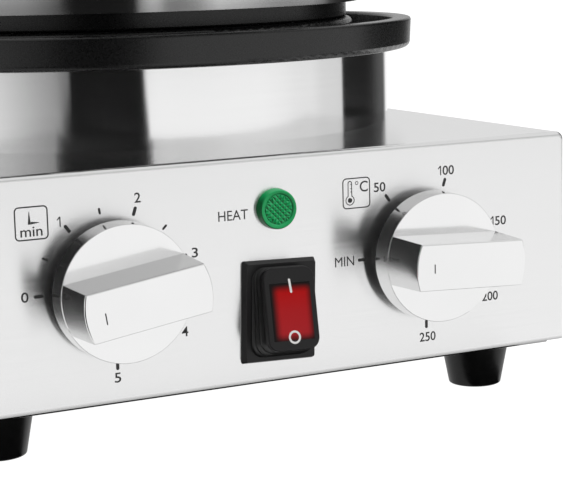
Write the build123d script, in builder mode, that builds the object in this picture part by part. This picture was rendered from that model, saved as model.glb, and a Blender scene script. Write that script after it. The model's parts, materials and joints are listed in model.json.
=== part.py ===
from build123d import *
import os
from math import cos, hypot, radians, sin, sqrt

# A round countertop waffle maker. The origin is on the surface it stands on,
# under the axis of the round baking plates. +X is to the user's right, +Y goes
# to the back and +Z goes up. Lengths are in millimetres.

os.makedirs("parts", exist_ok=True)

# Sheet-steel base
base_margin = 5.5
base_back = 27.9
base_height = 86.3
plate_setback = 167.1
sheet = 1.2
top_bend = 2.0
side_bend = 3.2
lip_width = 16.0
lip_drop = 0.8
lip_bend = 1.0
lip_relief = 8.5
floor_sheet = 1.0
floor_inset = 6.0
vent_width = 3.5
vent_height = 30.0
vent_pitch = 9.0
vent_count = 7
floor_corner = 4.0
floor_vent_length = 90.0
floor_vent_width = 5.0
floor_vent_pitch = 14.0
floor_vent_count = 9
floor_screw_inset = 60.0

# Rubber feet
foot_height = 18.3
foot_top_radius = 14.2
foot_bottom_radius = 10.7
foot_inset_x = 27.2
foot_inset_y = 25.8
foot_edge = 0.8
foot_seat = 8.0
foot_well_radius = 5.5

# Round drum under the lower plate
drum_setback = 10.9
drum_height = 31.6
drum_sheet = 1.0
drum_flange = 12.0

# Baking plates
rim_radius = 136.4
rim_draft = 0.7
rim_height = 13.0
rim_wall = 8.0
rim_edge = 2.5
rim_top_edge = 1.2
channel_floor = 5.0
land_step = 2.6
land_rise = 0.6
land_edge = 2.4
cavity_depth = 14.0
cavity_draft = 2.5
plate_floor = 6.0
stud_pitch = 24.0
stud_base = 17.5
stud_height = 9.5
stud_draft = 12.0
divider_width = 4.0
divider_height = 8.5
divider_gap = 1.5
parting_gap = 0.25
upper_radius = 107.4
upper_ring = 10.4
upper_band = 7.0
upper_flange_height = 3.6
upper_shoulder = 3.5
upper_edge = 0.8

# Round lid housing
lid_step = 5.6
lid_height = 45.0
lid_sheet = 1.0
lid_edge = 8.0
washer_radius = 7.0
washer_sheet = 1.2
cap_nut_depth = 5.0
cap_nut_hex = 4.8
cap_nut_dome = 4.0
cap_nut_base_radius = 4.7
cap_nut_top_radius = 2.4

# Heating elements, clamps and insulation
element_ring = 70.0
element_tube = 8.0
element_sweep = 325.0
element_pin = 3.0
element_leg = 12.0
element_pin_length = 6.0
element_hole_gap = 1.0
clamp_inset = 2.0
clamp_sheet = 2.0
wool_inset = 1.0
wool_thickness = 8.0
stud_circle = 45.0
bulb_radius = 3.0
bulb_length = 52.0
bulb_start = 10.0
bulb_y = 8.0
capillary_radius = 0.9
capillary_bend = 6.0
capillary_drop = 16.0
capillary_back = 29.0
wire_hole = 20.0

# Hinge between base and lid
hinge_clear = 18.6
hinge_rise = 4.1
pin_radius = 5.0
pin_clip = 1.0
pin_clip_rim = 3.2
pin_groove = 1.0
pin_overhang = 4.0
pin_chamfer = 0.6
ear_gap = 64.0
ear_sheet = 3.0
ear_depth = 41.0
ear_round = 9.0
bracket_tail = 27.0
bracket_foot = 3.0
bracket_screw_x = 23.0
bracket_screw_y = 12.0
bracket_back_clear = 18.0
base_grommet_radius = 8.0
lid_grommet_radius = 7.0
arm_wall = 4.0
arm_boss = 13.0
arm_flat = 21.0
bush_wall = 2.0
bush_flange = 1.2
bush_flange_rim = 2.0
saddle_width = 66.0
saddle_height = 36.0
saddle_drop = 2.5
saddle_wall = 6.0
web_sheet = 3.0
lid_opening = 100.0
stop_radius = 3.0
stop_along = 16.0
stop_head_rim = 1.6
stop_head = 1.4
spring_radius = 8.2
spring_wire = 1.1
spring_turns = 5
spring_pitch = 3.0

# Lid handle
handle_rise = 27.1
handle_reach = 45.0
handle_span = 104.0
handle_rod = 4.5
handle_bend = 16.0
grip_length = 66.0
grip_radius = 13.5
grip_waist = 11.5
boss_radius = 9.5
boss_length = 9.0
rod_thread_end = 8.0
rod_nut = 7.4
rod_nut_height = 5.0
grip_edge = 3.0

# Controls on the front panel
dial_spacing = 130.2
dial_height = 43.0
knob_gap = 4.8
knob_radius = 25.2
knob_face_radius = 25.0
knob_skirt = 9.1
knob_length = 29.2
grip_bar_root = 18.6
grip_bar_top = 17.5
grip_bar_radius = 23.8
knob_wall = 3.5
knob_hollow = 5.7
knob_boss = 6.5
knob_edge = 0.45
knob_face_edge = 0.25
timer_turned = 8.5
thermostat_turned = -2.7
shaft_radius = 3.0
shaft_flat = 0.8
shaft_grip = 13.2
shaft_hole_radius = 4.5
shaft_in_body = 12.0
shaft_chamfer = 0.4
control_screw_spacing = 28.0
timer_size = 42.0
timer_depth = 32.0
timer_plate = 1.5
timer_case_inset = 4.0
thermostat_size = 38.0
thermostat_depth = 26.0
thermostat_tall = 30.0
thermostat_corner = 2.0
diaphragm_radius = 11.0
diaphragm_depth = 6.0
tag_width = 6.3
tag_sheet = 0.8
tag_length = 9.0
control_bore = 14.0

lamp_rise = 23.2
lamp_flange_radius = 7.7
lamp_lens_radius = 7.55
lamp_stand = 3.4
lamp_hole_radius = 6.1
lamp_body_length = 24.0
lamp_flange = 0.8
lamp_edge = 0.6
lamp_nut_radius = 9.0
lamp_nut_height = 3.5
lamp_tag_width = 4.8
lamp_tag_length = 8.0

switch_drop = 15.5
switch_turned = -2.0
switch_width = 30.5
switch_tall = 39.0
switch_plate = 3.0
switch_bevel = 1.0
switch_cut_width = 22.0
switch_cut_tall = 30.0
switch_depth = 26.0
rocker_width = 21.25
rocker_tall = 31.15
rocker_face = 3.0
rocker_stand = 12.0
rocker_corner = 4.5
rocker_tilt = 13.35
rocker_pivot_stand = 0.8
window_width = 16.8
window_tall = 21.6
window_drop = 1.1
boot_step = 0.9
boot_rim = 2.0
boot_rim_step = 0.9
switch_corner = 0.8
switch_recess = 0.5
switch_well_wall = 1.0
switch_well_depth = 12.0
pivot_pin = 1.2
pivot_pin_gap = 0.3
rocker_stem_gap = 0.8
rocker_stem_end = 3.0
rocker_edge = 0.6
window_sheet = 2.0
window_fit = 0.01

# Terminal block and mains cable gland at the back
block_length = 44.0
block_width = 20.0
block_height = 16.0
block_corner = 2.0
block_from_gland = 30.0
block_from_back = 62.0
block_pitch = 13.0
block_screw_radius = 2.6
block_screw_depth = 6.0
block_wire_radius = 1.9
gland_x = 70.0
gland_height = 28.0
gland_thread = 7.5
gland_bore = 4.2
gland_hex = 20.0
gland_collar = 6.0
gland_reach = 18.0
gland_neck = 4.0
gland_neck_step = 1.2
gland_inside = 8.0
gland_cap_hex = 6.0
gland_cap_wall = 2.0
gland_nut_height = 4.5

# Fasteners and clearances
m3, m4, m5, m6 = 1.5, 2.0, 2.5, 3.0
m3_head, m4_head, m5_head = 2.8, 3.7, 4.4
m3_head_height, m4_head_height, m5_head_height = 1.6, 2.3, 3.0
m5_nut, m6_nut = 4.6, 5.7
m5_nut_height, m6_nut_height = 4.0, 5.0
m5_socket, m5_socket_depth = 2.2, 2.2
screw_past = 6.0
grommet_wall = 3.0
grommet_lip = 3.0
grommet_lip_height = 2.0
hole_gap = 0.15
running_gap = 0.05
seat_gap = 0.2
moving_gap = 0.35

# Radii, levels and places worked out from the sizes above
drum_radius = rim_radius - drum_setback
land_radius = upper_radius + land_step
cavity_radius = upper_radius - upper_ring
lid_radius = upper_radius + lid_step
clamp_radius = cavity_radius - clamp_inset
wool_radius = cavity_radius - wool_inset
divider_length = 2 * (cavity_radius - cavity_draft - divider_gap)
hinge_setback = rim_radius + hinge_clear
base_width = 2 * (drum_radius + base_margin)
base_depth = plate_setback + hinge_setback + base_back
front_y = -plate_setback
rear_y = front_y + base_depth
mid_y = (front_y + rear_y) / 2
base_bottom = foot_height + floor_sheet
base_top = base_bottom + base_height
plate_z = base_top + drum_height
rim_top = plate_z + rim_height
land_top = rim_top + land_rise
lower_floor_z = land_top - cavity_depth
lower_back_z = lower_floor_z - plate_floor
upper_z = land_top + parting_gap
upper_floor_z = upper_z + cavity_depth
upper_back_z = upper_floor_z + plate_floor
lid_z = upper_z + upper_band
lid_top = lid_z + lid_height
dial_z = base_bottom + dial_height
dial_x = dial_spacing / 2
lamp_z = dial_z + lamp_rise
switch_z = dial_z - switch_drop
hinge_z = lid_z + hinge_rise
handle_z = lid_z + handle_rise
foot_x = base_width / 2 - foot_inset_x
foot_ys = (front_y + foot_inset_y, rear_y - foot_inset_y)
saddle_z = lid_z + saddle_drop
web_z = hinge_z + spring_radius + spring_wire + moving_gap
lid_wire_z = web_z + web_sheet + 10.0
arm_bolts = [(sx * 17.0, saddle_z + sz) for sx in (-1, 1) for sz in (6.3, saddle_height - 7.0)]
spigot_radius = drum_radius - drum_sheet - seat_gap
drum_screw_circle = drum_radius - drum_flange / 2 - drum_sheet


def front_at(x, z, out=0.0, turned=0.0):
    """A plane on the front panel, facing the user and turned about its own normal."""
    lean = radians(turned)
    return Plane(
        origin=(x, front_y - out, z),
        x_dir=(cos(lean), 0, sin(lean)),
        z_dir=(0, -1, 0),
    )


def save(part, name):
    """Labels one finished piece and writes it to its own file."""
    part.label = name
    export_step(part, "parts/" + name + ".step")


# Base shell: front, top, sides and back folded from one sheet, open below
with BuildPart() as base_cavity:
    with BuildSketch(front_at(0, base_bottom, -sheet)):
        with Locations((0, (base_height - sheet) / 2)):
            cavity_outline = Rectangle(base_width - 2 * sheet, base_height - sheet)
        fillet(cavity_outline.vertices().group_by(Axis.Y)[-1], side_bend - sheet)
    extrude(amount=-(base_depth - 2 * sheet))
    for cavity_end in base_cavity.faces().filter_by(Axis.Y):
        end_edges = cavity_end.edges().sort_by(Axis.Z)[1:]
        fillet(end_edges, top_bend - sheet)

with BuildPart() as base_shell:
    with BuildSketch(front_at(0, base_bottom + lip_drop)):
        with Locations((0, (base_height - lip_drop) / 2)):
            shell_outline = Rectangle(base_width, base_height - lip_drop)
        fillet(shell_outline.vertices().group_by(Axis.Y)[-1], side_bend)
    extrude(amount=-base_depth)
    for shell_end in base_shell.faces().filter_by(Axis.Y):
        end_edges = shell_end.edges().sort_by(Axis.Z)[1:]
        fillet(end_edges, top_bend)
    add(base_cavity.part, mode=Mode.SUBTRACT)
    # the lips folded inwards along the bottom edges
    for lip_origin, lip_axis, lip_length in (
        ((0, front_y, base_bottom), (1, 0, 0), base_width - 2 * lip_relief),
        ((0, rear_y, base_bottom), (-1, 0, 0), base_width - 2 * lip_relief),
        ((base_width / 2, mid_y, base_bottom), (0, 1, 0), base_depth - 2 * lip_width - 4),
        ((-base_width / 2, mid_y, base_bottom), (0, -1, 0), base_depth - 2 * lip_width - 4),
    ):
        lip_inward = Vector(0, 0, 1).cross(Vector(*lip_axis))
        with BuildSketch(Plane(origin=lip_origin, x_dir=lip_inward, z_dir=lip_axis)):
            with BuildLine():
                Polyline(
                    (0, lip_bend),
                    (0, lip_drop + sheet),
                    (sheet, lip_drop + sheet),
                    (sheet, sheet),
                    (lip_width, sheet),
                    (lip_width, 0),
                    (lip_bend, 0),
                )
                RadiusArc((lip_bend, 0), (0, lip_bend), lip_bend)
            make_face()
        extrude(amount=lip_length / 2, both=True)
    # holes for the controls in the front
    for control_x in (-dial_x, dial_x):
        with Locations(front_at(control_x, dial_z)):
            Hole(radius=shaft_hole_radius, depth=2 * sheet)
        for screw_side in (-1, 1):
            with Locations(front_at(control_x + screw_side * control_screw_spacing / 2, dial_z)):
                Hole(radius=m3 + hole_gap, depth=2 * sheet)
    with Locations(front_at(0, lamp_z)):
        Hole(radius=lamp_hole_radius, depth=2 * sheet)
    with BuildSketch(front_at(0, switch_z, turned=switch_turned)):
        Rectangle(switch_cut_width, switch_cut_tall)
    extrude(amount=-2 * sheet, mode=Mode.SUBTRACT)
    # vents and the cable hole in the back
    vent_centre = (0, rear_y, base_bottom + base_height / 2)
    with BuildSketch(Plane(origin=vent_centre, x_dir=(-1, 0, 0), z_dir=(0, 1, 0))):
        with GridLocations(vent_pitch, 1, vent_count, 1):
            SlotOverall(vent_height, vent_width, rotation=90)
    extrude(amount=-2 * sheet, mode=Mode.SUBTRACT)
    with Locations(Plane(origin=(gland_x, rear_y, base_bottom + gland_height), z_dir=(0, 1, 0))):
        Hole(radius=gland_thread + hole_gap, depth=2 * sheet)
    # holes in the top for the drum, the lower plate's studs and the wires
    with Locations(Plane(origin=(0, 0, base_top))):
        Hole(radius=wire_hole, depth=2 * sheet)
        with PolarLocations(drum_screw_circle, 4, start_angle=45):
            Hole(radius=m4 + hole_gap, depth=2 * sheet)
        with PolarLocations(stud_circle, 3, start_angle=90):
            Hole(radius=m6 + hole_gap, depth=2 * sheet)
    bracket_y = hinge_setback + bracket_tail - ear_depth / 2
    bracket_screws = [
        (sx * bracket_screw_x, bracket_y + sy * bracket_screw_y) for sx in (-1, 1) for sy in (-1, 1)
    ]
    with Locations(*[Plane(origin=(x, y, base_top)) for x, y in bracket_screws]):
        Hole(radius=m5 + hole_gap, depth=2 * sheet)
    with Locations(Plane(origin=(0, bracket_y, base_top))):
        Hole(radius=base_grommet_radius + seat_gap, depth=2 * sheet)
    # screw holes in the lips
    lip_screws = [
        (side * (base_width / 2 - lip_width / 2 - 2), mid_y + step * (base_depth / 2 - floor_screw_inset))
        for side in (-1, 1)
        for step in (-1, 0, 1)
    ]
    with Locations(*[Plane(origin=(x, y, base_bottom + sheet)) for x, y in lip_screws]):
        Hole(radius=m4 + hole_gap, depth=2 * sheet)
save(base_shell.part, "base_shell")

# Bottom plate, screwed under the lips, with air slots
with BuildPart() as bottom_plate:
    with BuildSketch(Plane.XY.offset(foot_height)):
        with Locations((0, mid_y)):
            RectangleRounded(base_width - 2 * floor_inset, base_depth - 2 * floor_inset, floor_corner)
            with GridLocations(0, floor_vent_pitch, 1, floor_vent_count):
                SlotOverall(floor_vent_length, floor_vent_width, mode=Mode.SUBTRACT)
        with Locations(*lip_screws):
            Circle(m4 + hole_gap, mode=Mode.SUBTRACT)
        with Locations(*[(side * foot_x, y) for side in (-1, 1) for y in foot_ys]):
            Circle(m5 + hole_gap, mode=Mode.SUBTRACT)
    extrude(amount=floor_sheet)
save(bottom_plate.part, "bottom_plate")

with BuildPart() as bottom_screws:
    with BuildSketch(Plane.XY.offset(foot_height - m4_head_height)):
        with Locations(*lip_screws):
            Circle(m4_head)
    extrude(amount=m4_head_height)
    with BuildSketch(Plane.XY.offset(foot_height)):
        with Locations(*lip_screws):
            Circle(m4)
    extrude(amount=floor_sheet + sheet + screw_past)
save(bottom_screws.part, "bottom_screws")

# Four tapered rubber feet, each held by a screw sunk in its underside
foot_names = {
    (-1, 0): "foot_front_left",
    (1, 0): "foot_front_right",
    (-1, 1): "foot_rear_left",
    (1, 1): "foot_rear_right",
}
for (side, row), foot_name in foot_names.items():
    foot_plane = Plane(origin=(side * foot_x, foot_ys[row], 0))
    with BuildPart() as foot:
        with BuildSketch(foot_plane.offset(foot_height)):
            Circle(foot_top_radius)
        with BuildSketch(foot_plane):
            Circle(foot_bottom_radius)
        loft()
        fillet(foot.edges().group_by(Axis.Z)[0], foot_edge)
        with Locations(foot_plane.offset(foot_height)):
            Hole(radius=m5 + hole_gap)
        with BuildSketch(foot_plane):
            Circle(foot_well_radius)
        extrude(amount=foot_seat, mode=Mode.SUBTRACT)
    save(foot.part, foot_name)

with BuildPart() as foot_bolts:
    for side in (-1, 1):
        for foot_y in foot_ys:
            with BuildSketch(Plane(origin=(side * foot_x, foot_y, foot_seat - m5_head_height))):
                Circle(m5_head)
            extrude(amount=m5_head_height)
            with BuildSketch(Plane(origin=(side * foot_x, foot_y, foot_seat))):
                Circle(m5)
            extrude(amount=foot_height - foot_seat + floor_sheet + m5_nut_height + screw_past / 2)
            with BuildSketch(Plane(origin=(side * foot_x, foot_y, base_bottom))):
                RegularPolygon(m5_nut, 6)
                Circle(m5 + hole_gap, mode=Mode.SUBTRACT)
            extrude(amount=m5_nut_height)
save(foot_bolts.part, "foot_bolts")

# Drum: a rolled stainless ring with a flange turned in on the base
with BuildPart() as drum_shell:
    with BuildSketch(Plane.XY.offset(base_top)):
        Circle(drum_radius)
        Circle(drum_radius - drum_flange, mode=Mode.SUBTRACT)
        with PolarLocations(drum_screw_circle, 4, start_angle=45):
            Circle(m4 + hole_gap, mode=Mode.SUBTRACT)
    extrude(amount=drum_sheet)
    with BuildSketch(Plane.XY.offset(base_top)):
        Circle(drum_radius)
        Circle(drum_radius - drum_sheet, mode=Mode.SUBTRACT)
    extrude(amount=drum_height)
save(drum_shell.part, "drum_shell")

with BuildPart() as drum_screws:
    with BuildSketch(Plane.XY.offset(base_top + drum_sheet)):
        with PolarLocations(drum_screw_circle, 4, start_angle=45):
            Circle(m4_head)
    extrude(amount=m4_head_height)
    with BuildSketch(Plane.XY.offset(base_top + drum_sheet)):
        with PolarLocations(drum_screw_circle, 4, start_angle=45):
            Circle(m4)
    extrude(amount=-(drum_sheet + sheet + screw_past))
save(drum_screws.part, "drum_screws")


def stud_grid():
    """Centres of the square studs that fit whole inside the round cavity."""
    reach = cavity_radius - cavity_draft + 0.5
    rows = int(reach // stud_pitch) + 1
    steps = [(n + 0.5) * stud_pitch for n in range(-rows, rows)]
    half = stud_base / 2
    return [(x, y) for x in steps for y in steps if hypot(abs(x) + half, abs(y) + half) < reach]


# Lower plate: cast, with the waffle grid, a drip channel and a raised rim
with BuildPart() as lower_plate:
    with BuildSketch(Plane.XZ):
        with BuildLine():
            Polyline(
                (0, lower_back_z),
                (spigot_radius, lower_back_z),
                (spigot_radius, plate_z),
                (rim_radius - rim_draft, plate_z),
                (rim_radius, rim_top),
                (rim_radius - rim_wall, rim_top),
                (rim_radius - rim_wall, plate_z + channel_floor),
                (land_radius, plate_z + channel_floor),
                (land_radius, land_top),
                (cavity_radius, land_top),
                (cavity_radius - cavity_draft, lower_floor_z),
                (0, lower_floor_z),
                close=True,
            )
        make_face()
    revolve(axis=Axis.Z)
    circles = lower_plate.edges().filter_by(GeomType.CIRCLE)
    outer_foot = circles.filter_by(lambda e: abs(e.radius - rim_radius + rim_draft) < 0.01)
    fillet(outer_foot, rim_edge)
    circles = lower_plate.edges().filter_by(GeomType.CIRCLE)
    crown_radius = rim_radius - rim_wall - 0.01
    rim_crown = circles.filter_by(lambda e: e.radius > crown_radius and e.center().Z > rim_top - 0.01)
    fillet(rim_crown, rim_top_edge)
    circles = lower_plate.edges().filter_by(GeomType.CIRCLE)
    land_edges = circles.filter_by(lambda e: abs(e.radius - land_radius) < 0.01)
    land_corner = land_edges.sort_by(Axis.Z)[-1]
    fillet(land_corner, land_edge)
    with BuildSketch(Plane.XY.offset(lower_floor_z)):
        with Locations(*stud_grid()):
            Rectangle(stud_base, stud_base)
    extrude(amount=stud_height, taper=stud_draft)
    with BuildSketch(Plane.XY.offset(lower_floor_z)):
        Rectangle(divider_length, divider_width)
        Rectangle(divider_width, divider_length)
    extrude(amount=divider_height, taper=stud_draft / 2)
save(lower_plate.part, "lower_plate")

# Upper plate: the same grid facing down, with a flange inside the lid
with BuildPart() as upper_plate:
    flange_radius = lid_radius - lid_sheet - seat_gap
    with BuildSketch(Plane.XZ):
        with BuildLine():
            Polyline(
                (0, upper_back_z),
                (upper_radius - upper_shoulder, upper_back_z),
                (upper_radius - upper_shoulder, lid_z + upper_flange_height),
                (flange_radius, lid_z + upper_flange_height),
                (flange_radius, lid_z + seat_gap),
                (upper_radius, lid_z + seat_gap),
                (upper_radius, upper_z),
                (cavity_radius, upper_z),
                (cavity_radius - cavity_draft, upper_floor_z),
                (0, upper_floor_z),
                close=True,
            )
        make_face()
    revolve(axis=Axis.Z)
    circles = upper_plate.edges().filter_by(GeomType.CIRCLE)
    ring_edges = circles.filter_by(lambda e: abs(e.radius - upper_radius) < 0.01)
    ring_corner = ring_edges.sort_by(Axis.Z)[0]
    fillet(ring_corner, upper_edge)
    with BuildSketch(Plane.XY.offset(upper_floor_z)):
        with Locations(*stud_grid()):
            Rectangle(stud_base, stud_base)
    extrude(amount=-stud_height, taper=stud_draft)
    with BuildSketch(Plane.XY.offset(upper_floor_z)):
        Rectangle(divider_length, divider_width)
        Rectangle(divider_width, divider_length)
    extrude(amount=-divider_height, taper=stud_draft / 2)
save(upper_plate.part, "upper_plate")


def heating_ring(back_z, side):
    """A tubular element lying on a plate's back, with two pins on its ends."""
    tube = element_tube / 2
    ring_z = back_z + side * (tube + seat_gap)
    start = (360.0 - element_sweep) / 2 - 90.0
    with BuildPart() as ring:
        section = Plane.XZ.rotated((0, 0, start))
        with BuildSketch(section):
            with Locations((element_ring, ring_z)):
                Circle(tube)
        revolve(axis=Axis.Z, revolution_arc=element_sweep)
        for end in (start, start + element_sweep):
            spot = (element_ring * cos(radians(end)), element_ring * sin(radians(end)), ring_z)
            with BuildSketch(Plane(origin=spot)):
                Circle(tube - seat_gap)
            extrude(amount=side * element_leg)
            with BuildSketch(Plane(origin=spot)):
                Circle(element_pin / 2)
            extrude(amount=side * (element_leg + element_pin_length))
    return ring.part


def clamp_disc(back_z, side):
    """The steel disc that presses an element against its plate."""
    disc_z = back_z + side * (element_tube + 2 * seat_gap)
    start = (360.0 - element_sweep) / 2 - 90.0
    with BuildPart() as disc:
        with BuildSketch(Plane.XY.offset(disc_z)):
            Circle(clamp_radius)
            Circle(wire_hole - 2.0, mode=Mode.SUBTRACT)
            with PolarLocations(stud_circle, 3, start_angle=90):
                Circle(m6 + hole_gap, mode=Mode.SUBTRACT)
            for end in (start, start + element_sweep):
                with Locations((element_ring * cos(radians(end)), element_ring * sin(radians(end)))):
                    Circle(element_tube / 2 + element_hole_gap, mode=Mode.SUBTRACT)
        extrude(amount=side * clamp_sheet)
    return disc.part


def wool_disc(wool_z):
    """The mineral-wool disc between a clamp disc and its housing."""
    start = (360.0 - element_sweep) / 2 - 90.0
    with BuildPart() as wool:
        with BuildSketch(Plane.XY.offset(wool_z)):
            Circle(wool_radius)
            Circle(wire_hole + 2.0, mode=Mode.SUBTRACT)
            with PolarLocations(stud_circle, 3, start_angle=90):
                Circle(m6 + element_hole_gap, mode=Mode.SUBTRACT)
            for end in (start, start + element_sweep):
                with Locations((element_ring * cos(radians(end)), element_ring * sin(radians(end)))):
                    Circle(element_tube / 2 + 2 * element_hole_gap, mode=Mode.SUBTRACT)
        extrude(amount=wool_thickness)
    return wool.part


lower_clamp_z = lower_back_z - element_tube - 2 * seat_gap - clamp_sheet
upper_clamp_z = upper_back_z + element_tube + 2 * seat_gap + clamp_sheet
save(heating_ring(lower_back_z, -1), "lower_heating_element")
save(heating_ring(upper_back_z, 1), "upper_heating_element")
save(clamp_disc(lower_back_z, -1), "lower_element_clamp")
save(clamp_disc(upper_back_z, 1), "upper_element_clamp")
save(wool_disc(base_top + seat_gap), "lower_insulation")
save(wool_disc(upper_clamp_z + m6_nut_height + seat_gap), "upper_insulation")

# Studs and nuts that hold each plate, its clamp and its housing together
stud_end = base_top - sheet - m6_nut_height - screw_past / 2

with BuildPart() as lower_plate_studs:
    with BuildSketch(Plane.XY.offset(stud_end)):
        with PolarLocations(stud_circle, 3, start_angle=90):
            Circle(m6)
    extrude(amount=lower_back_z - stud_end)
save(lower_plate_studs.part, "lower_plate_studs")

with BuildPart() as lower_plate_nuts:
    for nut_z in (lower_clamp_z - m6_nut_height, base_top - sheet - m6_nut_height):
        with BuildSketch(Plane.XY.offset(nut_z)):
            with PolarLocations(stud_circle, 3, start_angle=90):
                RegularPolygon(m6_nut, 6)
            with PolarLocations(stud_circle, 3, start_angle=90):
                Circle(m6 + hole_gap, mode=Mode.SUBTRACT)
        extrude(amount=m6_nut_height)
save(lower_plate_nuts.part, "lower_plate_nuts")

with BuildPart() as upper_plate_studs:
    with BuildSketch(Plane.XY.offset(upper_back_z)):
        with PolarLocations(stud_circle, 3, start_angle=90):
            Circle(m6)
    extrude(amount=lid_top + cap_nut_depth - upper_back_z)
save(upper_plate_studs.part, "upper_plate_studs")

with BuildPart() as upper_plate_nuts:
    with BuildSketch(Plane.XY.offset(upper_clamp_z)):
        with PolarLocations(stud_circle, 3, start_angle=90):
            RegularPolygon(m6_nut, 6)
        with PolarLocations(stud_circle, 3, start_angle=90):
            Circle(m6 + hole_gap, mode=Mode.SUBTRACT)
    extrude(amount=m6_nut_height)
save(upper_plate_nuts.part, "upper_plate_nuts")

# Domed cap nuts with washers on top of the lid
cap_hex_z = lid_top + washer_sheet
cap_dome_z = cap_hex_z + cap_nut_hex
with BuildPart() as lid_cap_nuts:
    with BuildSketch(Plane.XY.offset(lid_top)):
        with PolarLocations(stud_circle, 3, start_angle=90):
            Circle(washer_radius)
    extrude(amount=washer_sheet)
    with BuildSketch(Plane.XY.offset(cap_hex_z)):
        with PolarLocations(stud_circle, 3, start_angle=90):
            RegularPolygon(m6_nut, 6)
    extrude(amount=cap_nut_hex)
    for n in range(3):
        cap_angle = radians(90 + 120 * n)
        cap_x = stud_circle * cos(cap_angle)
        cap_y = stud_circle * sin(cap_angle)
        with BuildSketch(Plane(origin=(cap_x, cap_y, cap_dome_z))):
            Circle(cap_nut_base_radius)
        with BuildSketch(Plane(origin=(cap_x, cap_y, cap_dome_z + cap_nut_dome))):
            Circle(cap_nut_top_radius)
        loft()
    with BuildSketch(Plane.XY.offset(lid_top)):
        with PolarLocations(stud_circle, 3, start_angle=90):
            Circle(m6 + hole_gap)
    extrude(amount=cap_nut_depth + seat_gap, mode=Mode.SUBTRACT)
save(lid_cap_nuts.part, "lid_cap_nuts")

# Lid housing: a drawn stainless cap with a rounded top edge
with BuildPart() as lid_shell:
    with BuildSketch(Plane.XY.offset(lid_z)):
        Circle(lid_radius)
    extrude(amount=lid_height)
    fillet(lid_shell.edges().group_by(Axis.Z)[-1], lid_edge)
    offset(amount=-lid_sheet, openings=lid_shell.faces().sort_by(Axis.Z)[0])
    with Locations(Plane(origin=(0, 0, lid_top))):
        with PolarLocations(stud_circle, 3, start_angle=90):
            Hole(radius=m6 + hole_gap, depth=3 * lid_sheet)
    # holes for the handle rods in front and the hinge arm's bolts and wires behind
    for side in (-1, 1):
        with Locations(Plane(origin=(side * handle_span / 2, -lid_radius, handle_z), z_dir=(0, -1, 0))):
            Hole(radius=handle_rod + hole_gap, depth=lid_radius / 2)
    with Locations(*[Plane(origin=(x, lid_radius, z), z_dir=(0, 1, 0)) for x, z in arm_bolts]):
        Hole(radius=m5 + hole_gap, depth=lid_radius / 2)
    with Locations(Plane(origin=(0, lid_radius, lid_wire_z), z_dir=(0, 1, 0))):
        Hole(radius=lid_grommet_radius + seat_gap, depth=lid_radius / 2)
save(lid_shell.part, "lid_shell")

# Hinge bracket: a steel channel screwed to the top of the base
bracket_front_y = bracket_y - ear_depth / 2
bracket_rear_y = bracket_y + ear_depth / 2
stop_lean = radians(lid_opening)
stop_off = arm_boss + stop_radius + moving_gap
stop_y = hinge_setback - cos(stop_lean) * stop_along + sin(stop_lean) * stop_off
stop_z = hinge_z + sin(stop_lean) * stop_along + cos(stop_lean) * stop_off
ear_top = stop_z + ear_round
back_wall_height = hinge_z - base_top - bracket_back_clear
with BuildPart() as hinge_bracket:
    with BuildSketch(Plane.XY.offset(base_top)):
        with Locations((0, bracket_y)):
            Rectangle(ear_gap + 2 * ear_sheet, ear_depth)
            Circle(base_grommet_radius + seat_gap, mode=Mode.SUBTRACT)
        with Locations(*bracket_screws):
            Circle(m5 + hole_gap, mode=Mode.SUBTRACT)
    extrude(amount=bracket_foot)
    for side in (-1, 1):
        inner_x = side * ear_gap / 2
        with BuildSketch(Plane(origin=(inner_x, 0, 0), x_dir=(0, 1, 0), z_dir=(1, 0, 0))):
            with Locations((bracket_y, (base_top + ear_top) / 2)):
                ear = Rectangle(ear_depth, ear_top - base_top)
            fillet(ear.vertices().group_by(Axis.Y)[-1], ear_round)
            with Locations((hinge_setback, hinge_z)):
                Circle(pin_radius + running_gap, mode=Mode.SUBTRACT)
            with Locations((stop_y, stop_z)):
                Circle(stop_radius + running_gap, mode=Mode.SUBTRACT)
        extrude(amount=side * ear_sheet)
    # the back wall of the channel stays below the path of the lid's arms
    with BuildSketch(Plane(origin=(0, bracket_rear_y, 0), x_dir=(-1, 0, 0), z_dir=(0, 1, 0))):
        with Locations((0, base_top + back_wall_height / 2)):
            Rectangle(ear_gap + 2 * ear_sheet, back_wall_height)
    extrude(amount=-ear_sheet)
save(hinge_bracket.part, "hinge_bracket")

with BuildPart() as bracket_bolts:
    for x, y in bracket_screws:
        with BuildSketch(Plane(origin=(x, y, base_top + bracket_foot))):
            Circle(m5_head)
        extrude(amount=m5_head_height)
        with BuildSketch(Plane(origin=(x, y, base_top + bracket_foot + m5_head_height))):
            RegularPolygon(m5_socket, 6)
        extrude(amount=-m5_socket_depth, mode=Mode.SUBTRACT)
        with BuildSketch(Plane(origin=(x, y, base_top + bracket_foot))):
            Circle(m5)
        extrude(amount=-(bracket_foot + sheet + m5_nut_height + screw_past / 2))
        with BuildSketch(Plane(origin=(x, y, base_top - sheet))):
            RegularPolygon(m5_nut, 6)
            Circle(m5 + hole_gap, mode=Mode.SUBTRACT)
        extrude(amount=-m5_nut_height)
save(bracket_bolts.part, "bracket_bolts")

with BuildPart() as base_grommet:
    for disc_z, disc_height, disc_radius in (
        (base_top - sheet - grommet_lip_height, grommet_lip_height, base_grommet_radius + grommet_lip),
        (base_top - sheet, sheet + bracket_foot, base_grommet_radius),
        (base_top + bracket_foot, grommet_lip_height, base_grommet_radius + grommet_lip),
    ):
        with BuildSketch(Plane(origin=(0, bracket_y, disc_z))):
            Circle(disc_radius)
            Circle(base_grommet_radius - grommet_wall, mode=Mode.SUBTRACT)
        extrude(amount=disc_height)
save(base_grommet.part, "base_grommet")

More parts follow.
